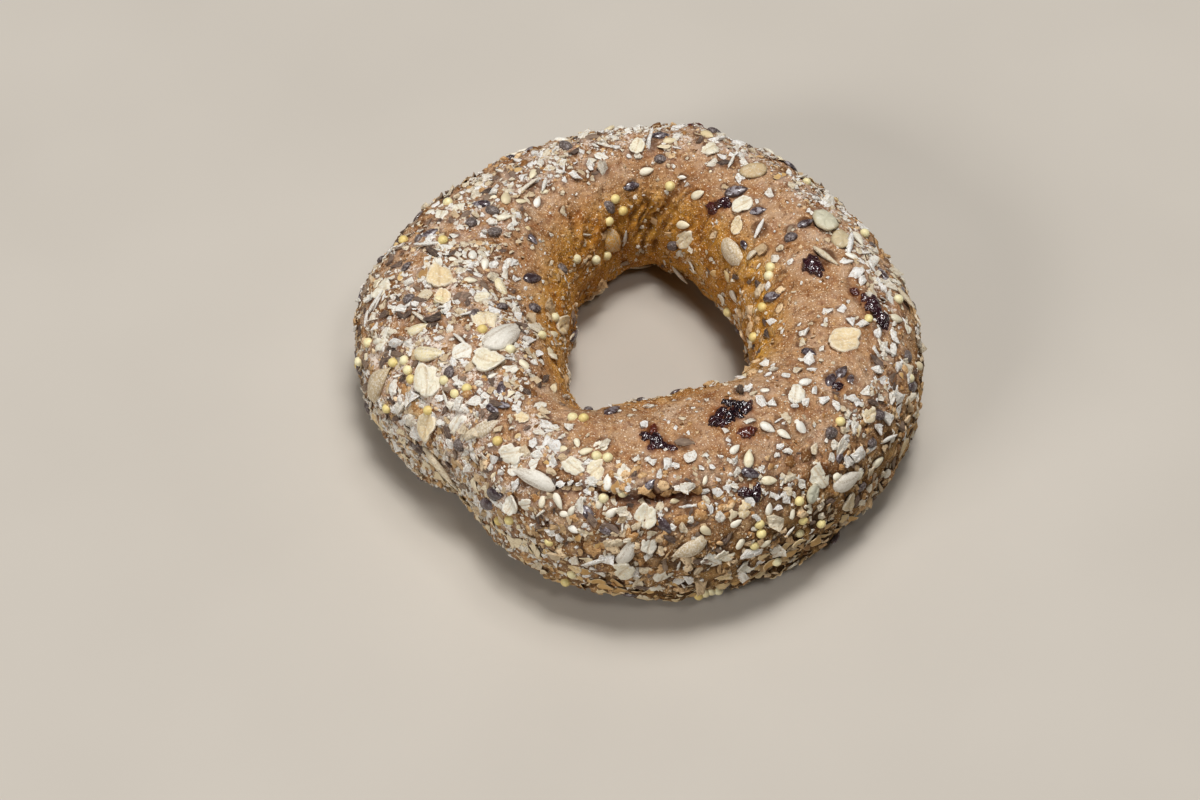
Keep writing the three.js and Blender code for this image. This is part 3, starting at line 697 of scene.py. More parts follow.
def kernel_material():
    tones = [(226, 222, 212), (206, 192, 170), (204, 182, 142), (232, 218, 178), (232, 184, 96)]
    paint, _ = topping_paint("sunflower_kernel", 0.6, tones)
    streaks = paint.noise(1.0, detail=3.0, vector=paint.local(2.0, 16.0, 8.0))
    paint.lay_where(streaks, 0.45, 0.7, 0.45, (150, 126, 96))
    dust = paint.noise(0.35, detail=3.0, roughness=0.7)
    paint.lay_where(dust, 0.45, 0.62, 0.7, (236, 230, 220))
    paint.bump(paint.noise(0.35, detail=3.0), 0.5, 0.1)
    return paint.finish()


def oval_material():
    paint, _ = topping_paint("pumpkin_seed", 0.55, [(206, 206, 188), (204, 190, 158), (196, 164, 120)])
    edge = paint.parts(paint.attribute("local", "Vector"))[2]
    paint.lay_where(edge, 0.7, 1.0, 0.5, (170, 150, 112))
    dust = paint.noise(0.5, detail=4.0, roughness=0.7)
    paint.lay_where(dust, 0.48, 0.7, 0.6, (226, 222, 208))
    paint.bump(paint.noise(0.6, detail=3.0), 0.4, 0.1)
    return paint.finish()


def millet_material():
    tones = [(242, 234, 196), (236, 220, 158), (226, 200, 128)]
    paint, _ = topping_paint("millet", 0.4, tones, specular=0.45)
    paint.lay_where(paint.noise(0.9, detail=2.0), 0.45, 0.7, 0.35, (210, 178, 112))
    return paint.finish()


def linseed_material():
    paint, drawn = topping_paint("linseed", 0.2, [(62, 50, 54), (78, 62, 62), (96, 80, 72)], specular=0.9)
    streaks = paint.noise(1.0, detail=2.0, vector=paint.own(1.5, 7.0, 4.0))
    paint.lay_where(streaks, 0.42, 0.66, 0.5, (104, 88, 92))
    dust = paint.between(paint.noise(1.1, detail=4.0, roughness=0.75), 0.44, 0.62)
    dust_share = paint.math("MULTIPLY", dust, paint.math("MULTIPLY_ADD", drawn[1], 0.7, 0.15))
    paint.lay(dust_share, (182, 176, 180))
    paint.plug(paint.shader.inputs, {"Roughness": paint.math("MULTIPLY_ADD", dust_share, 0.5, 0.16)})
    return paint.finish()


def dark_seed_material():
    paint, _ = topping_paint("dark_seed", 0.45, [(78, 64, 64), (98, 84, 80), (120, 106, 96)])
    streaks = paint.noise(1.0, detail=3.0, vector=paint.own(2.0, 9.0, 5.0))
    paint.lay_where(streaks, 0.45, 0.65, 0.7, (58, 44, 42))
    dust = paint.noise(0.35, detail=3.0, roughness=0.7)
    paint.lay_where(dust, 0.45, 0.65, 0.7, (176, 168, 166))
    paint.bump(paint.noise(0.4, detail=3.0), 0.5, 0.1)
    return paint.finish()


def sesame_material():
    paint, _ = topping_paint("sesame", 0.45, [(240, 236, 226), (234, 224, 196), (214, 192, 146)])
    paint.lay_where(paint.noise(0.8, detail=3.0), 0.5, 0.7, 0.4, (206, 184, 148))
    return paint.finish()


def raisin_material():
    paint, _ = topping_paint("raisin", 0.12, [(34, 22, 28), (62, 34, 40), (104, 50, 34)], specular=1.0)
    paint.lay_where(paint.noise(0.9, detail=3.0), 0.52, 0.7, 0.5, (92, 44, 30))
    bloom = paint.noise(0.4, detail=3.0, roughness=0.7)
    paint.lay_where(bloom, 0.58, 0.64, 0.6, (168, 152, 154))
    paint.bump(paint.noise(1.5, detail=2.0), 1.0, 0.7)
    return paint.finish()


def chip_material(name):
    tones = [(241, 238, 233), (238, 233, 222), (227, 214, 189), (206, 174, 132)]
    paint, drawn = topping_paint(name, 0.75, tones, specular=0.2)
    paint.lay_where(paint.noise(0.7, detail=3.0), 0.5, 0.72, 0.4, (200, 176, 140))
    crevices = paint.noise(0.4, detail=4.0, roughness=0.7)
    # Painted shade: darker where the bump made from the same noise sinks into crevices
    paint.lay_where(crevices, 0.46, 0.36, 0.5, (178, 142, 102))
    pale = paint.math("SUBTRACT", 1.0, drawn[0])
    paint.lay(paint.math("MULTIPLY", paint.between(crevices, 0.52, 0.6, most=0.7), pale), (248, 246, 241))
    paint.bump(crevices, 1.0, 0.3)
    return paint.finish()


def husk_material():
    tones = [(80, 66, 60), (108, 90, 80), (138, 118, 102), (168, 148, 126)]
    paint, _ = topping_paint("husk", 0.6, tones, specular=0.35)
    streaks = paint.noise(1.0, detail=3.0, vector=paint.local(3.0, 22.0, 0.0))
    paint.lay_where(streaks, 0.5, 0.64, 0.6, (178, 156, 130))
    return paint.finish()


def crag_material():
    tones = [(128, 86, 44), (172, 126, 76), (210, 170, 120), (240, 216, 180)]
    paint, _ = topping_paint("crag", 0.65, tones, specular=0.35)
    grain = paint.noise(0.5, detail=3.0, roughness=0.75)
    # Partly the crumb's own speckle, partly painted shade in the pits and painted highlight on the tops of
    # the bump made from the same grain
    paint.lay_where(grain, 0.46, 0.36, 0.6, (112, 70, 32))
    paint.lay_where(grain, 0.54, 0.64, 0.6, (246, 226, 192))
    paint.bump(grain, 0.8, 0.25)
    return paint.finish()


def bran_material():
    tones = [(238, 228, 204), (226, 206, 166), (214, 178, 122), (158, 122, 82)]
    paint, _ = topping_paint("bran", 0.7, tones, specular=0.2)
    streaks = paint.noise(1.0, detail=3.0, vector=paint.local(3.0, 18.0, 0.0))
    paint.lay_where(streaks, 0.45, 0.7, 0.5, (160, 118, 70))
    edge = paint.parts(paint.attribute("local", "Vector"))[2]
    paint.lay_where(edge, 0.8, 1.0, 0.6, (232, 218, 188))
    return paint.finish()


# ---- Crust ----

def fine_relief(points, ring, section):
    """Crags and grain that the solid is too coarse for."""
    out = 0.34 * value_noise(points, 2.6, 2) + 0.26 * value_noise(points, 1.3, 3)
    out = out - 0.4 * smoothstep(value_noise(points, 1.9, 6), 0.35, 0.8)
    out = 0.36 * value_noise(points, 6.0, 1) + out * (1 - 0.4 * bell(section - 105, 32))
    crags = 1 - 2 * np.abs(value_noise(points, 3.2, 7))
    out = out + 0.5 * crags * smoothstep(section, 62, 36)
    low_flank = smoothstep(section, 8, -24)
    layers = np.sin(section / 3.2 + 2.8 * value_noise(points * np.array([1.0, 1.0, 1.6]), 7.0, 4))
    out = out + 0.55 * low_flank * layers
    hole_wall = bell(section - 160, 36)
    wrinkles = 1 - 2 * np.abs(value_noise(points * np.array([1.0, 1.0, 0.3]), 3.6, 5))
    return out + 0.45 * hole_wall * wrinkles - creases(points, ring, section)


def creases(points, ring, section):
    """Upright creases that fan out over the back wall of the hole, as depths in millimetres."""
    fan = ring_offset(ring, FOLDS[0]["ring"]) * (1 + 0.012 * (section - 160))
    wave = fan / FAN_STEP + 1.0 * value_noise(points, 5.0, 8)
    where = near(ring, FAN, 30) * bell(section - 155, 30)
    return FAN_DEPTH * where * (0.5 + 0.5 * np.cos(2 * np.pi * wave)) ** 3


def near_lines(points, lines):
    """How close each point lies to the creases, as a depth in millimetres."""
    deep = np.zeros(points.shape[:-1])
    for depth, width, line in lines:
        nearest = np.full(deep.shape, np.inf)
        for place in line:
            nearest = np.minimum(nearest, np.linalg.norm(points - place, axis=-1))
        deep = np.maximum(deep, CREASE_SHARE * depth * bell(nearest, width))
    return deep


def tear_shape(points, ring, section):
    """How deep each point lies in the tear and how far it hangs over it, in millimetres."""
    edge = np.interp(ring, TEAR_LINE[:, 0], TEAR_LINE[:, 1], left=-200, right=-200)
    depth = np.interp(ring, TEAR_LINE[:, 0], TEAR_LINE[:, 2], left=0, right=0)
    ragged = 1.0 * value_noise(points, 3.2, 11) + 0.7 * value_noise(points, 1.3, 12)
    above = (section - edge) * CRUST_TO_A_DEGREE + ragged
    deep = depth * bell(above, TEAR_GAPE)
    lip = np.minimum(depth, FULL_LIP_DEPTH) / FULL_LIP_DEPTH * bell(above - 1.7 * TEAR_GAPE, TEAR_GAPE)
    return deep, lip


def tree_of(places):
    tree = kdtree.KDTree(len(places))
    for index, place in enumerate(places):
        tree.insert(place, index)
    tree.balance()
    return tree


class Crust:
    """The finished crust as a grid that toppings are set on, column by column round the ring."""

    def __init__(self):
        self.ring, self.section = np.meshgrid(
            np.arange(CRUST_RING_STEPS) * 360 / CRUST_RING_STEPS,
            np.linspace(FLANK_FOOT_ANGLE, HOLE_FOOT_ANGLE, CRUST_SECTION_STEPS),
            indexing="ij",
        )
        _, up, out = surface_axes(self.ring, self.section)
        points = crust_point(self.ring, self.section)
        self.deep, lip = tear_shape(points, self.ring, self.section)
        self.rise = fine_relief(points, self.ring, self.section) * foot_fade(self.section)
        rise = self.rise - self.deep + TEAR_LIP_RISE * lip
        points = points + out * rise[..., None] - up * (TEAR_LIP * lip)[..., None]
        self.points = points
        self.across, self.down, self.depth = to_image(points)
        self.facing = np.sum(out * unit(camera_axes()[0] - points), axis=-1)
        lines = [(depth, width, self.drawn(line)) for depth, width, *line in CREASES_SEEN]
        self.creased = near_lines(points, lines)
        turn = np.radians(self.ring)
        outward = np.stack([np.cos(turn), np.sin(turn), 0 * turn], axis=-1)
        points = points - out * self.creased[..., None] + self.foot_shift()[..., None] * outward
        points[..., 2] = np.maximum(points[..., 2], 0)
        self.points = points
        self.out = out
        along_step = np.roll(points, -1, axis=0) - points
        up_step = np.gradient(points, axis=1)
        self.area = np.linalg.norm(np.cross(along_step, up_step), axis=-1)
        limit = round_the_ring(STATIONS[:, 3], self.ring)
        self.seeded = 1 - smoothstep(self.section, limit - 16, limit + 10)

    def foot_shift(self):
        """How far the two feet are drawn in under the dough: out at the hole, and in at the flank."""
        back = 0.3 + 0.7 * near(self.ring, BACK, 50)
        front = 1 + 0.3 * near(self.ring, FRONT_FOOT, 45)
        low_front = near(self.ring, LOW_FRONT, 48) * smoothstep(self.section, 25, -20)
        hole_foot = FOOT_DRAWN_IN * smoothstep(self.section, 205, 230) * back
        flank_foot = FOOT_DRAWN_IN * front * smoothstep(self.section, -30, -50)
        return hole_foot - flank_foot - LOW_FRONT_DRAWN_IN * low_front

    def position(self, ring, section):
        """Points on the crust, between the grid's own."""
        span = HOLE_FOOT_ANGLE - FLANK_FOOT_ANGLE
        column = np.mod(ring / 360, 1) * CRUST_RING_STEPS
        row = np.clip((section - FLANK_FOOT_ANGLE) / span, 0, 0.9999) * (CRUST_SECTION_STEPS - 1)
        left, low = np.floor(column).astype(int), np.floor(row).astype(int)
        right = (left + 1) % CRUST_RING_STEPS
        share, rise = (column - left)[..., None], (row - low)[..., None]
        left = left % CRUST_RING_STEPS
        below = self.points[left, low] * (1 - share) + self.points[right, low] * share
        above = self.points[left, low + 1] * (1 - share) + self.points[right, low + 1] * share
        on_crust = below * (1 - rise) + above * rise
        across = ((section - HOLE_FOOT_ANGLE) / (360 - span))[..., None]
        return np.where(across > 0, self.base(self.points[left, -1], self.points[left, 0], across), on_crust)

    def base(self, hole_foot, flank_foot, across):
        """Points across the base, which is a little hollow and uneven between its two feet."""
        points = hole_foot * (1 - across) + flank_foot * across
        uneven = 0.7 + 0.35 * value_noise(points, 4.0, 31) + 0.35 * value_noise(points, 1.6, 32)
        hollow = smoothstep(across[..., 0], 0, 0.12) * smoothstep(across[..., 0], 1, 0.88)
        points[..., 2] = BASE_RECESS * np.clip(uneven, 0, 1) * hollow
        return points

    def seen_at(self, across, down):
        """Ring and section angles of the crust at places in the image."""
        rings, sections = [], []
        # The nearer crust wins over the farther one behind it
        farther = NEARER_WINS * (self.depth - self.depth.min())
        for x, y in zip(across, down):
            off = (self.across - x) ** 2 + (self.down - y) ** 2
            cost = np.where(self.facing > LEAST_FACING, off + farther, np.inf)
            best = np.unravel_index(np.argmin(cost), cost.shape)
            rings.append(self.ring[best])
            sections.append(self.section[best])
        return np.array(rings), np.array(sections)

    def drawn(self, line, step=2.0):
        """Points on the crust along a line seen in the image, this many pixels apart."""
        corners = np.array(line, float)
        far = np.concatenate([[0], np.cumsum(np.linalg.norm(np.diff(corners, axis=0), axis=1))])
        along = np.arange(0, far[-1], step)
        across, down = (np.interp(along, far, corners[:, axis]) for axis in range(2))
        return self.position(*self.seen_at(across, down))

    def scattered(self, rng, number, weight):
        """Ring and section angles of this many places, thicker where the weight is larger."""
        total = np.cumsum((self.area * weight)[:, :-1].ravel())
        picks = np.searchsorted(total, rng.uniform(0, total[-1], number))
        column, row = np.divmod(picks, CRUST_SECTION_STEPS - 1)
        step = (HOLE_FOOT_ANGLE - FLANK_FOOT_ANGLE) / (CRUST_SECTION_STEPS - 1)
        ring = (column + rng.uniform(0, 1, number)) * 360 / CRUST_RING_STEPS
        return ring, FLANK_FOOT_ANGLE + (row + rng.uniform(0, 1, number)) * step

    def bed(self, places, radii, reach=0.45, height=0.25):
        """Swells the crust round the pieces' edges, and gives it painted shade the closer it lies under one.
        """
        tree = tree_of(places)
        painted_shade_near_pieces = np.zeros(self.ring.size)
        rim = np.zeros(self.ring.size)
        for index, point in enumerate(self.points.reshape(-1, 3)):
            for _, other, off in tree.find_n(point, 2):
                beyond = (off - radii[other]) / reach
                painted_shade_near_pieces[index] = max(painted_shade_near_pieces[index], 1 - beyond)
                rim[index] = max(rim[index], 1 - abs(beyond - 0.4))
        self.painted_shade_near_pieces = smoothstep(painted_shade_near_pieces.reshape(self.ring.shape), 0, 1)
        swell = height * smoothstep(rim.reshape(self.ring.shape), 0, 1) * foot_fade(self.section)
        self.points = self.points + self.out * swell[..., None]
        self.points[..., 2] = np.maximum(self.points[..., 2], 0)

    def add(self, material, raisins):
        """The crust's own mesh, closed by its base."""
        base_share = np.linspace(0, 1, BASE_STEPS + 2)[None, 1:-1, None]
        base = self.base(self.points[:, -1:, :], self.points[:, :1, :], base_share)
        columns = np.concatenate([self.points, base], axis=1)
        padding = ((0, 0), (0, BASE_STEPS))
        attributes = {"toasted": np.pad(np.zeros(self.ring.shape), padding, constant_values=1).ravel()}
        for name, look in self.looks(raisins).items():
            mode = "edge" if name in LOOKS_ON_BASE else "constant"
            attributes[name] = np.pad(look, padding, mode=mode).ravel()
        faces = grid_faces(CRUST_RING_STEPS, columns.shape[1])
        return add_mesh("crust", columns.reshape(-1, 3), faces, material, **attributes)

    def looks(self, raisins):
        """How much of each look shows at every point, from 0 to about 1."""
        stain = np.zeros(self.ring.shape)
        for place, reach in raisins:
            off = np.linalg.norm(self.points - place, axis=-1)
            stain = np.maximum(stain, 0.8 * smoothstep(off, reach + 0.9, reach * 0.5))
        golden = smoothstep(self.section, 112, 150)
        dusty = smoothstep(self.section, 40, 66) * smoothstep(self.section, 150, 105)
        dusty = dusty * (0.3 + 0.6 * self.seeded)
        floury_side = near(self.ring, FLOURY_SIDE, 48)
        floury_rim = np.maximum(floury_side, 0.7 * near(self.ring, BACK_RIGHT, 70))
        dusty = np.maximum(dusty, 1.2 * floury_rim * smoothstep(self.section, -30, 10) * (self.section < 60))
        flank = 0.85 * smoothstep(self.section, 50, 10) * (1 - 0.9 * floury_side)
        # Painted shade: darker crust close under the pieces and in the pits of the fine relief, less on the
        # hole's wall and the floury low left flank
        hollow = np.maximum((0.72 + 0.22 * flank) * self.painted_shade_near_pieces, 0.75 * smoothstep(self.rise, -0.3, -0.9))
        hollow = hollow * (1 - 0.5 * golden) * (1 - 0.7 * floury_side * smoothstep(self.section, 45, 15))
        # Painted highlight on the tops of the raised ridges, partly their own golden colour
        ledge_highlight = smoothstep(self.rise, 0.25, 0.8) * np.maximum(0.5 * golden, 0.7 * flank)
        # Painted shade in the tear, the deeper the darker, and along the creases
        deep = np.maximum(np.clip(self.deep / 1.3, 0, 1), 0.5 * np.clip(self.creased, 0, 1))
        return {
            "golden": golden, "dusty": dusty, "flank": flank, "ledge_highlight": ledge_highlight,
            "stain": stain, "hollow": hollow, "deep": deep,
        }


# ---- Topping shapes, of unit length along X, with the crust below them along -Z ----

# Each row of a profile says how far out to the edge it lies, and its height as a share of half the thickness
FLAKE_PROFILE = [(0.4, 1.0), (0.82, 1.0), (0.95, 0.9), (1.0, 0.2), (0.95, -0.8), (0.5, -0.8)]
OVAL_PROFILE = [(0.4, 0.95), (0.7, 0.8), (0.9, 0.5), (1.0, 0.0), (0.85, -0.6), (0.4, -0.8)]
PAPER_PROFILE = [(0.5, 1.0), (0.85, 1.0), (1.0, 0.4), (0.9, -1.0)]
CHIP_PROFILE = [(0.55, 1.0), (1.0, 0.5), (0.92, -0.8)]
CRUMB_PROFILE = [(1.0, 0.3)]


def closed_faces(rings, around):
    """Triangles of rings of points between a first and a last point, which come after them."""
    here = np.arange(around)
    beside = (here + 1) % around
    first, last = np.full(around, rings * around), np.full(around, rings * around + 1)
    faces = [np.stack([first, here, beside], axis=-1)]
    for ring in range(rings - 1):
        a, b = ring * around + here, ring * around + beside
        c, d = a + around, b + around
        faces += [np.stack([a, c, d], axis=-1), np.stack([a, d, b], axis=-1)]
    end = (rings - 1) * around
    faces.append(np.stack([last, end + beside, end + here], axis=-1))
    return np.concatenate(faces)


def plate(rng, around, profile, width, thickness, ragged, warp, groove=0.0, notches=0):
    """A thin piece with an uneven edge."""
    profile = np.array(profile)
    angle = (np.arange(around) + 2 * ragged * rng.normal(size=around)) * 2 * np.pi / around
    edge = 1 + 0.5 * ragged * rng.normal(size=around)
    for lobes in range(2, 7):
        edge = edge + ragged * rng.normal() / lobes**0.6 * np.cos(lobes * angle + rng.uniform(0, 2 * np.pi))
    for _ in range(notches):
        off = np.mod(angle - rng.uniform(0, 2 * np.pi) + np.pi, 2 * np.pi) - np.pi
        edge = edge * (1 - rng.uniform(0.08, 0.3) * bell(off, rng.uniform(0.15, 0.4)))
    share = profile[:, :1]
    x = 0.5 * share * edge * np.cos(angle)
    y = 0.5 * width * share * edge * np.sin(angle)
    x, y = np.append(x, [0, 0]), np.append(y, [0, 0])
    lift = np.append(np.repeat(profile[:, 1], around), [1, -0.8])
    shares = np.append(np.repeat(profile[:, 0], around), [0, 0])
    z = 0.5 * thickness * lift * (1 + 0.2 * rng.normal(size=len(x)))
    z = z - groove * thickness * bell(y, 0.05) * bell(x, 0.35) * (lift > 0)
    z = z + 0.25 * thickness * value_noise(np.stack([x, y, 0 * x], axis=-1), 0.2, rng.integers(1, 900))
    bend = rng.normal(size=3) * warp
    z = z + bend[0] * x * y * 2 + bend[1] * x * x + bend[2] * y * y
    return np.stack([x, y, z], axis=-1), closed_faces(len(profile), around), np.stack([x, y, shares], axis=-1)


def seed(rng, around, rings, width, thickness, point, blunt=0.5, ragged=0.0, bend=0.0, wrinkled=0.0):
    """A rounded piece, narrower towards +X by the point's share."""
    spin = np.arange(around) * 2 * np.pi / around
    ends = np.cos((np.arange(rings) + 1) * np.pi / (rings + 1))[:, None]
    girth = (1 - ends**2) ** np.where(ends > 0, blunt, 0.5) * (1 - point * ends)
    x = 0.5 * ends + 0 * spin
    y = 0.5 * width * girth * np.cos(spin)
    z = 0.5 * thickness * girth * np.sin(spin)
    points = np.stack([x, y, z], axis=-1).reshape(-1, 3)
    points = np.concatenate([points, [(0.5, 0, 0), (-0.5, 0, 0)]])
    if ragged:
        noise = value_noise(points, 0.3, rng.integers(1, 900)) + 0.6 * value_noise(points, 0.13, 3)
        ridges = 1 - 2 * np.abs(value_noise(points, 0.2, rng.integers(1, 900)))
        points = points * (1 + ragged * noise + wrinkled * ridges)[:, None]
    points[:, 2] += bend * points[:, 0] ** 2
    points[:, 1] += 2 * bend * rng.normal() * points[:, 0] ** 2
    return points, closed_faces(rings, around), points.copy()


# ---- Toppings ----

LEAST_CLEAR = 0.3  # pieces that keep others off by less than this overlap freely
MOST_CLEAR = 3
BEDDED_FROM = 1.2  # pieces shorter than this lie on the crust without a bed
BED_SHARE = 0.36  # of a piece's length, from its middle to the edge of its bed
RING_ROUNDING = 55  # radii that pieces are bent over, along the ring and up the section
SECTION_ROUNDING = 20


def pressed(height, floor=0.03, give=0.27):
    """Heights in millimetres, with those near the board squeezed above it."""
    return np.where(height < floor + give, floor + give * np.exp((height - floor) / give - 1), height)


class Toppings:
    """All pieces, each a row of numbers until the mesh of its kind is made: kind, ring angle, section angle,
    turn on the crust, length, tone, variant, pitch, roll and lift."""

    def __init__(self, crust, rng):
        self.crust = crust
        self.rng = rng
        self.kinds = {}
        self.rows = []
        self.seen = 0

    def kind(self, name, slot, material, shapes, sink, tip=0.1, clear=0.5, smooth=True):
        """Names a kind. How deep it sinks, and how far others keep off its middle, are shares of its length,
        and tip is how far it leans either way."""
        self.kinds[name] = {
            "slot": slot, "material": material, "shapes": shapes, "sink": sink, "tip": tip, "clear": clear,
            "smooth": smooth, "number": len(self.kinds),
        }

    def put(self, name, ring, section, turn, length, tone, lean=0.0, variant=None):
        kind = self.kinds[name]
        count = len(ring)
        variant = self.rng.integers(0, len(kind["shapes"]), count) if variant is None else variant
        pitch, roll = self.rng.normal(0, kind["tip"], (2, count)) + np.array([[0], [lean]])
        number = np.full(count, kind["number"])
        lift = -kind["sink"] * length
        row = [number, ring, section, turn, length, tone, variant, pitch, roll, lift]
        self.rows.append(np.stack(row, axis=1))

    def put_seen(self, name, seen, stretch=1.35):
        """Pieces where the image shows them: across, down, length, angle, tone and perhaps the shape. The
        stretch is the most that the crust's slope lengthens them by."""
        across, down, length, angle, tone, *variant = np.array(seen, float).T
        ring, section = self.crust.seen_at(across, down)
        along, up, _ = surface_axes(ring, section)
        place = self.crust.position(ring, section)
        here = np.stack(to_image(place)[:2], axis=-1)
        right = np.stack(to_image(place + along)[:2], axis=-1) - here
        above = np.stack(to_image(place + up)[:2], axis=-1) - here
        wanted = np.stack([np.cos(np.radians(angle)), -np.sin(np.radians(angle))], axis=-1)
        on_crust = np.linalg.solve(np.stack([right, above], axis=-1), wanted[..., None])[..., 0]
        size = np.linalg.norm(on_crust, axis=-1)
        turn = np.degrees(np.arctan2(on_crust[:, 1], on_crust[:, 0]))
        upright = to_image(place)[2] / (LENS / SENSOR_WIDTH * IMAGE_SIZE[0])
        length = length * np.minimum(size, stretch * upright)
        self.put(name, ring, section, turn, length, tone, variant=variant[0] if variant else None)
        self.seen += len(seen)

    def scatter(self, name, number, weight, length, spread=0.2, turn=None, lean=0.0, tone=1.0):
        """Pieces by the seeded rule, thicker where the weight is larger. Those that lean stand off the crust
        at their lower edge."""
        ring, section = self.crust.scattered(self.rng, number, weight)
        lengths = length * np.exp(self.rng.normal(0, spread, number))
        lengths = np.clip(lengths, length * (1 - 2 * spread), length * (1 + 2.5 * spread))
        # The crest carries more of the pale pieces, the flank and the wall of the hole more of the tan ones
        # On the wall of the hole the tan is partly painted warm light, thrown back onto the pieces by the
        # crust round them
        tans = 0.32 * smoothstep(section, 50, 10) + 0.4 * smoothstep(section, 120, 150)
        tones = np.clip(self.rng.uniform(0, 1, number) - 0.1 + tans, 0, 1) * tone
        turns = self.rng.uniform(0, 360, number) if turn is None else turn + self.rng.normal(0, 35, number)
        self.put(name, ring, section, turns, lengths, tones, lean)

    def scatter_on_base(self, name, number, length, spread=0.25):
        """Pieces pressed flat into the base."""
        span = 360 - HOLE_FOOT_ANGLE + FLANK_FOOT_ANGLE
        ring = self.rng.uniform(0, 360, number)
        section = HOLE_FOOT_ANGLE + span * self.rng.uniform(0.06, 0.94, number)
        lengths = length * np.exp(self.rng.normal(0, spread, number).clip(-0.5, 0.5))
        turns = self.rng.uniform(0, 360, number)
        self.put(name, ring, section, turns, lengths, self.rng.uniform(0, 1, number))

    def thin_out(self):
        """Drops scattered pieces that lie too far over one that was put before them."""
        rows = np.concatenate(self.rows)
        places = self.crust.position(rows[:, 1], rows[:, 2])
        clear = np.array([kind["clear"] for kind in self.kinds.values()])[rows[:, 0].astype(int)]
        radii = clear * rows[:, 4]
        tree = tree_of(places)
        kept = np.ones(len(rows), bool)
        for index in range(len(rows)):
            if kept[index] and radii[index] > LEAST_CLEAR:
                for _, other, off in tree.find_range(places[index], radii[index] + MOST_CLEAR):
                    if other > max(index, self.seen - 1) and off < radii[index] + radii[other]:
                        kept[other] = False
        self.rows = rows[kept]

    def bed(self):
        """Beds the larger pieces in the crust, which takes painted shade under them."""
        rows = self.rows[self.rows[:, 4] > BEDDED_FROM]
        self.crust.bed(self.crust.position(rows[:, 1], rows[:, 2]), BED_SHARE * rows[:, 4])

    def raisins(self):
        """The place and half length of each raisin."""
        rows = self.rows[self.rows[:, 0] == self.kinds["raisins"]["number"]]
        places = self.crust.position(rows[:, 1], rows[:, 2])
        return list(zip(places, rows[:, 4] / 2))

    def add(self, name):
        """One mesh of all the pieces of this kind."""
        kind = self.kinds[name]
        rows = self.rows[self.rows[:, 0] == kind["number"]]
        points, faces, local, tones = [], [], [], []
        start = 0
        for variant, (shape, shape_faces, shape_local) in enumerate(kind["shapes"]):
            _, ring, section, turn, length, tone, _, pitch, roll, lift = rows[rows[:, 6] == variant].T
            along, up, out = surface_axes(ring, section)
            place = self.crust.position(ring, section)
            x, y, z = (shape[None, :, axis] * length[:, None] for axis in range(3))
            z = z + lift[:, None] + pitch[:, None] * x + roll[:, None] * y
            cosine, sine = np.cos(np.radians(turn))[:, None], np.sin(np.radians(turn))[:, None]
            x, y = x * cosine - y * sine, x * sine + y * cosine
            z = z - x * x / (2 * RING_ROUNDING) - y * y / (2 * SECTION_ROUNDING)
            made = place[:, None] + x[..., None] * along[:, None] + y[..., None] * up[:, None]
            made = made + z[..., None] * out[:, None]
            made[..., 2] = pressed(made[..., 2])
            count, size = made.shape[:2]
            starts = start + size * np.arange(count)
            points.append(made.reshape(-1, 3))
            faces.append((shape_faces[None] + starts[:, None, None]).reshape(-1, 3))
            local.append(np.broadcast_to(shape_local[None], (count, size, 3)).reshape(-1, 3))
            own = np.stack([tone, *self.rng.uniform(0, 1, (2, count))], axis=-1)
            tones.append(np.repeat(own, size, axis=0))
            start += count * size
        points, faces, local, tones = (np.concatenate(part) for part in (points, faces, local, tones))
        thing = add_mesh(name, points, faces, kind["material"], kind["smooth"], local=local, tone=tones)
        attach(thing, "root")


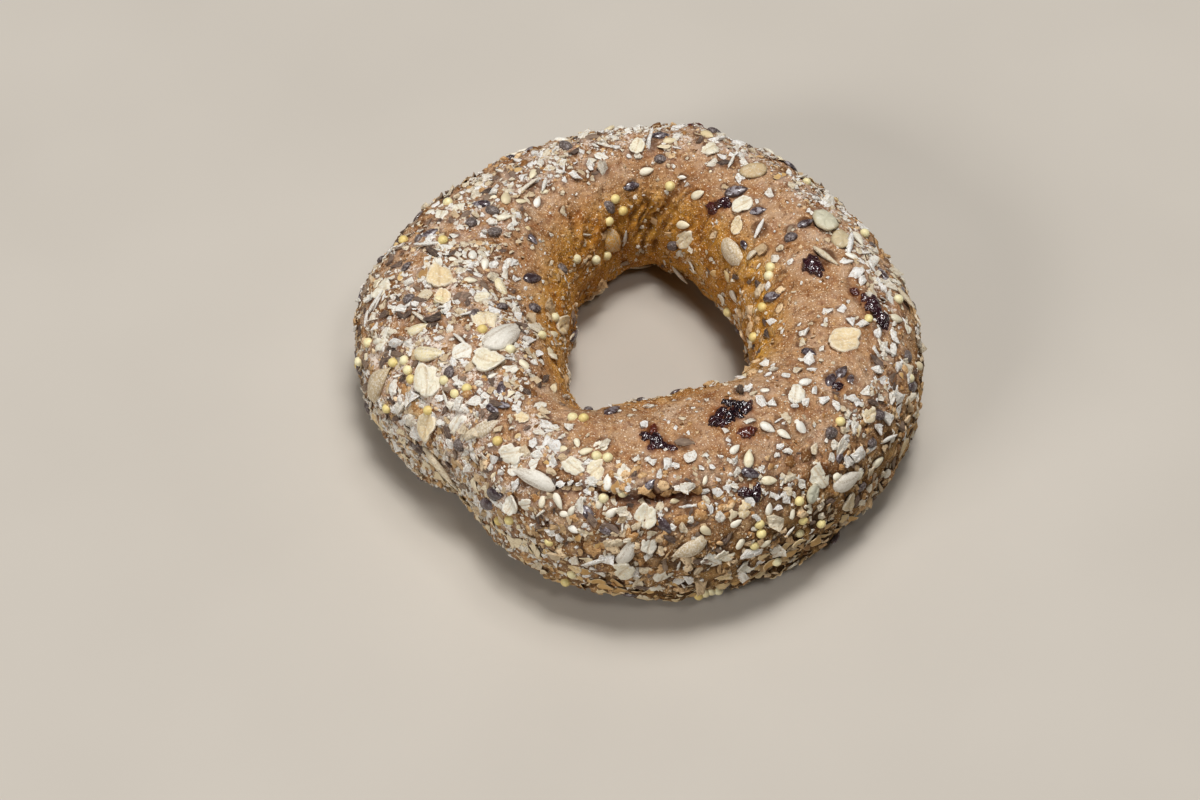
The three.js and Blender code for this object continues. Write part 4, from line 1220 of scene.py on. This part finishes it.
def name_kinds(tops, rng):
    """The kinds of topping, each with its shapes."""
    # After the points round it, a plate has its profile, width, thickness, raggedness, warp and groove,
    # and a seed its rings of points, width, thickness and point. Widths and thicknesses are shares of
    # the length.
    flakes = [plate(rng, 30, FLAKE_PROFILE, 0.84, 0.12, 0.055, 0.35, 0.5, notches=5) for _ in range(10)]
    widths = (0.33, 0.38, 0.42, 0.46, 0.52, 0.58)
    kernels = [seed(rng, 14, 13, width, 0.22, 0.3, blunt=1.0, ragged=0.06, bend=-0.1) for width in widths]
    ovals = [plate(rng, 22, OVAL_PROFILE, 0.74, 0.24, 0.015, 0.1) for _ in range(3)]
    raisins = [seed(rng, 28, 21, 0.72, 0.5, 0.0, ragged=0.42, wrinkled=0.24) for _ in range(8)]
    linseeds = [seed(rng, 10, 9, 0.52, 0.27, 0.25, blunt=0.6, ragged=0.04) for _ in range(4)]
    dark_seeds = [seed(rng, 10, 8, 0.8, 0.55, 0.15, ragged=0.1) for _ in range(4)]
    millet = [seed(rng, 12, 8, 0.95, 0.92, 0.0, ragged=0.03) for _ in range(2)]
    sesame = [seed(rng, 9, 8, 0.55, 0.32, 0.3, blunt=0.65, ragged=0.05) for _ in range(4)]
    chips = [plate(rng, 9, CHIP_PROFILE, 0.68, 0.24, 0.2, 0.5, notches=2) for _ in range(24)]
    clumps = [seed(rng, 9, 7, 0.8, 0.4, 0.0, ragged=0.6, wrinkled=0.3) for _ in range(12)]
    papers = [plate(rng, 12, PAPER_PROFILE, 0.6, 0.06, 0.1, 0.4) for _ in range(10)]
    sticks = [seed(rng, 5, 6, 0.22, 0.16, 0.15, ragged=0.25, bend=0.06) for _ in range(8)]
    husks = [plate(rng, 8, CHIP_PROFILE, 0.4, 0.16, 0.14, 0.6) for _ in range(12)]
    crags = [seed(rng, 8, 6, 0.8, 0.5, 0.0, ragged=0.35, wrinkled=0.15) for _ in range(10)]
    crumbs = [plate(rng, 5, CRUMB_PROFILE, 0.8, 0.6, 0.12, 0.2) for _ in range(8)]
    tops.kind("raisins", "raisin", raisin_material(), raisins, 0.02, clear=0.2)
    tops.kind("sunflower_kernels", "sunflower_kernel", kernel_material(), kernels, -0.04, 0.05, clear=0.3)
    tops.kind("pumpkin_seeds", "pumpkin_seed", oval_material(), ovals, -0.05, 0.08, clear=0.36)
    tops.kind("oat_flakes", "oat_flake", flake_material(), flakes, -0.05, 0.1, clear=0.34)
    tops.kind("linseeds", "linseed", linseed_material(), linseeds, -0.04, 0.1, clear=0.28)
    tops.kind("dark_seeds", "dark_seed", dark_seed_material(), dark_seeds, -0.05, 0.15, clear=0.42)
    tops.kind("sesame", "sesame", sesame_material(), sesame, -0.06, 0.15, clear=0.36)
    tops.kind("millet", "millet", millet_material(), millet, -0.15, 0.0, clear=0.46)
    chip = chip_material("chip")
    tops.kind("grain_flakes", "grain_flake", chip, chips, -0.08, 0.25, clear=0.2, smooth=False)
    tops.kind("clumps", "grain_flake", chip_material("clump"), clumps, 0.02, 0.3, clear=0.2, smooth=False)
    tops.kind("sticks", "bran", chip_material("stick"), sticks, -0.1, 0.2, clear=0.2)
    tops.kind("bran_flakes", "bran", bran_material(), papers, -0.08, 0.15, clear=0.2)
    tops.kind("husks", "bran", husk_material(), husks, -0.06, 0.1, clear=0.2, smooth=False)
    tops.kind("crags", "crust", crag_material(), crags, 0.06, 0.3, clear=0.1)
    tops.kind("golden_crumbs", "crust", crag_material(), crumbs, -0.05, 0.3, clear=0.0, smooth=False)
    tops.kind("crumbs", "grain_flake", chip_material("crumb"), crumbs, -0.1, 0.3, clear=0.0, smooth=False)


def put_seen_pieces(tops):
    tops.put_seen("raisins", RAISINS_SEEN)
    tops.put_seen("sunflower_kernels", KERNELS_SEEN)
    tops.put_seen("pumpkin_seeds", OVALS_SEEN)
    tops.put_seen("oat_flakes", FLAKES_SEEN)
    tops.put_seen("linseeds", LINSEEDS_SEEN)
    tops.put_seen("dark_seeds", DARK_SEEDS_SEEN, stretch=1.05)
    tops.put_seen("sesame", SESAME_SEEN)
    grains = [(x, y, MILLET_ACROSS, 0, (x * y % 7) / 7) for x, y in MILLET_SEEN]
    tops.put_seen("millet", grains, stretch=1.0)
    tops.put_seen("grain_flakes", CHIPS_SEEN)
    tops.put_seen("sticks", STICKS_SEEN)
    tops.put_seen("husks", HUSKS_SEEN, stretch=1.0)
    tops.put_seen("bran_flakes", BRAN_SEEN, stretch=0.85)
    tops.put_seen("crags", LUMPS_SEEN)


def scatter_pieces(tops, crust):
    """What the image doesn't show, or shows too thick to follow one by one. Each rule says how many pieces
    there are at most, where they are thicker, how long they are and how much their lengths differ."""
    section = crust.section
    hidden = 1 - smoothstep(crust.facing, -0.15, 0.1)
    above_foot = smoothstep(section, -44, -16) * smoothstep(section, 215, 195)
    bare_wall = near(crust.ring, BACK, 42)
    in_hole = 0.16 * smoothstep(section, 125, 150) * (1 - 0.85 * bare_wall)
    spread = (np.maximum(crust.seeded, in_hole) + 0.05) * above_foot * (crust.deep < 0.5)
    hidden_spread = spread * hidden
    far_side = spread * smoothstep(crust.facing, -0.2, -0.4)
    flank = smoothstep(section, 60, 35)
    clusters = smoothstep(value_noise(crust.points, 5.0, 21), -0.2, 0.5)
    fine_clusters = smoothstep(value_noise(crust.points, 2.8, 22), -0.25, 0.5)
    off_flank = 1 - 0.85 * flank * (1 - near(crust.ring, LEFT_FRONT, 45))
    tops.scatter("raisins", 8, far_side, 5.0)
    tops.scatter("sunflower_kernels", 14, far_side, 8.0, tone=0.7)
    tops.scatter("pumpkin_seeds", 9, far_side, 4.6, 0.1)
    tops.scatter("oat_flakes", 40, far_side, 5.2)
    tops.scatter("oat_flakes", 70, spread * (0.3 + clusters), 3.4)
    tops.scatter("linseeds", 70, hidden_spread + 0.15 * spread, 3.9, 0.1)
    tops.scatter("dark_seeds", 60, hidden_spread + 0.25 * spread, 2.8, 0.15)
    tops.scatter("husks", 200, spread * (0.3 + clusters), 2.3, 0.3)
    tops.scatter("husks", 150, spread * near(crust.ring, LEFT, 45), 2.4, 0.3, tone=0.8)
    tops.scatter("sesame", 90, hidden_spread + 0.3 * spread, 2.9, 0.12)
    tops.scatter("millet", 80, far_side + 0.05 * spread, 2.1, 0.06)
    tops.scatter("grain_flakes", 1200, spread * (0.08 + clusters) * (0.4 + 0.6 * off_flank), 2.0, 0.3)
    tops.scatter("sticks", 140, spread * (0.3 + clusters), 2.4, 0.3)
    tops.scatter("clumps", 340, spread * (0.05 + clusters) * off_flank * (1 - bare_wall), 1.9, 0.3)
    edge = bell(section + 32, 15) * foot_fade(section)
    low_left = near(crust.ring, LOW_LEFT, 26) * bell(section + 8, 24)
    tops.scatter("bran_flakes", 190, low_left, 2.8, 0.25, lean=-0.06, tone=0.15)
    tops.scatter("grain_flakes", 420, low_left, 1.7, 0.3, tone=0.25)
    tops.scatter("crumbs", 900, low_left, 0.7, 0.4, tone=0.3)
    tops.scatter("bran_flakes", 1100, edge, 2.2, 0.3, turn=0, lean=-0.06, tone=0.6)
    tops.scatter("bran_flakes", 250, spread * (0.3 + fine_clusters), 1.9, 0.3)
    tops.scatter("crags", 700, (edge + 0.8 * spread * (section < 70)) * (0.2 + fine_clusters), 1.7, 0.3)
    tops.scatter("crags", 500, spread * (0.1 + fine_clusters), 1.3, 0.3)
    tops.scatter("grain_flakes", 110, spread * flank * (0.2 + clusters), 3.0, 0.2)
    front_flank = near(crust.ring, FRONT, 30) * bell(section - 30, 25)
    tops.scatter("husks", 110, front_flank, 1.7, 0.3, tone=0.7)
    tops.scatter("grain_flakes", 2200, (spread + 0.02) * (0.05 + fine_clusters) * off_flank, 1.3, 0.35)
    tops.scatter("husks", 220, (spread + 0.08 * above_foot) * (0.05 + fine_clusters), 1.1, 0.3)
    tops.scatter("golden_crumbs", 4500, (0.25 + 0.75 * spread) * above_foot, 0.6, 0.35)
    tops.scatter("crumbs", 7000, (spread + 0.02 * above_foot) * (0.1 + fine_clusters) * off_flank, 0.62, 0.4)
    tops.scatter_on_base("oat_flakes", 45, 4.4)
    tops.scatter_on_base("linseeds", 25, 3.8, 0.1)
    tops.scatter_on_base("sesame", 60, 2.8, 0.1)
    tops.scatter_on_base("grain_flakes", 330, 1.9)
    tops.scatter_on_base("bran_flakes", 260, 2.4)
    tops.scatter_on_base("husks", 90, 1.8)
    tops.scatter_on_base("crumbs", 500, 0.7)


def add_toppings(crust):
    rng = np.random.default_rng(SEED)
    tops = Toppings(crust, rng)
    name_kinds(tops, rng)
    put_seen_pieces(tops)
    scatter_pieces(tops, crust)
    tops.thin_out()
    for name in tops.kinds:
        tops.add(name)
    tops.bed()
    return tops.raisins()


# ---- Stage ----

FLOOR_SIDE = 8000
FLOOR_DROP = 0.05  # below the resting surface, so that no face lies in the bread's own
SKY_COLOUR = (1.0, 0.99, 0.97, 1)
SKY_STRENGTH = 0.01
GAMMA = 0.87
LIGHT_DISTANCE = 1.4  # metres
# Square soft boxes: power, azimuth with 0 behind the bread and 90 to its right, elevation, and side in metres
LIGHTS = {
    "overhead": (8.6, 30, 84, 0.28),
    "left": (3.5, -124, 27, 0.3),
    "back_left": (2.6, -30, 76, 0.42),
    "back_right": (4.8, 36, 73, 0.42),
    "front_left": (4.3, -136, 30, 0.26),
    "front_right": (3.3, 140, 64, 0.26),
}


def add_soft_light(name, power, azimuth, elevation, side):
    light_data = bpy.data.lights.new(name, "AREA")
    light_data.size = side
    light_data.energy = power
    light = bpy.data.objects.new(name, light_data)
    turn, tilt = math.radians(azimuth), math.radians(elevation)
    direction = np.array([math.sin(turn) * math.cos(tilt), math.cos(turn) * math.cos(tilt), math.sin(tilt)])
    light.location = direction * LIGHT_DISTANCE
    light.rotation_euler = (math.radians(90 - elevation), 0, math.pi - turn)
    bpy.context.collection.objects.link(light)


def add_stage():
    paint = Paint("floor", roughness=0.8, specular=0.2)
    paint.colour = paint.ramp(paint.noise(60.0, detail=2.0), (0.3, (197, 190, 180)), (0.7, (201, 194, 184)))
    corners = np.array([(-1, -1, 0), (1, -1, 0), (1, 1, 0), (-1, 1, 0)])
    floor = add_mesh("floor", corners * FLOOR_SIDE / 2, np.array([[0, 1, 2, 3]]), paint.finish())
    floor.location.z = -FLOOR_DROP * MM

    world = bpy.data.worlds.new("studio")
    world.use_nodes = True
    sky = world.node_tree.nodes["Background"]
    sky.inputs["Color"].default_value = SKY_COLOUR
    sky.inputs["Strength"].default_value = SKY_STRENGTH
    bpy.context.scene.world = world

    for name, light in LIGHTS.items():
        add_soft_light(name, *light)
    bpy.context.scene.view_settings.view_transform = "Standard"
    bpy.context.scene.view_settings.gamma = GAMMA


add_camera()
add_stage()
crust = Crust()
raisins = add_toppings(crust)
crust_piece = crust.add(crust_material(), raisins)
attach(crust_piece, "root")
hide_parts("bagel")
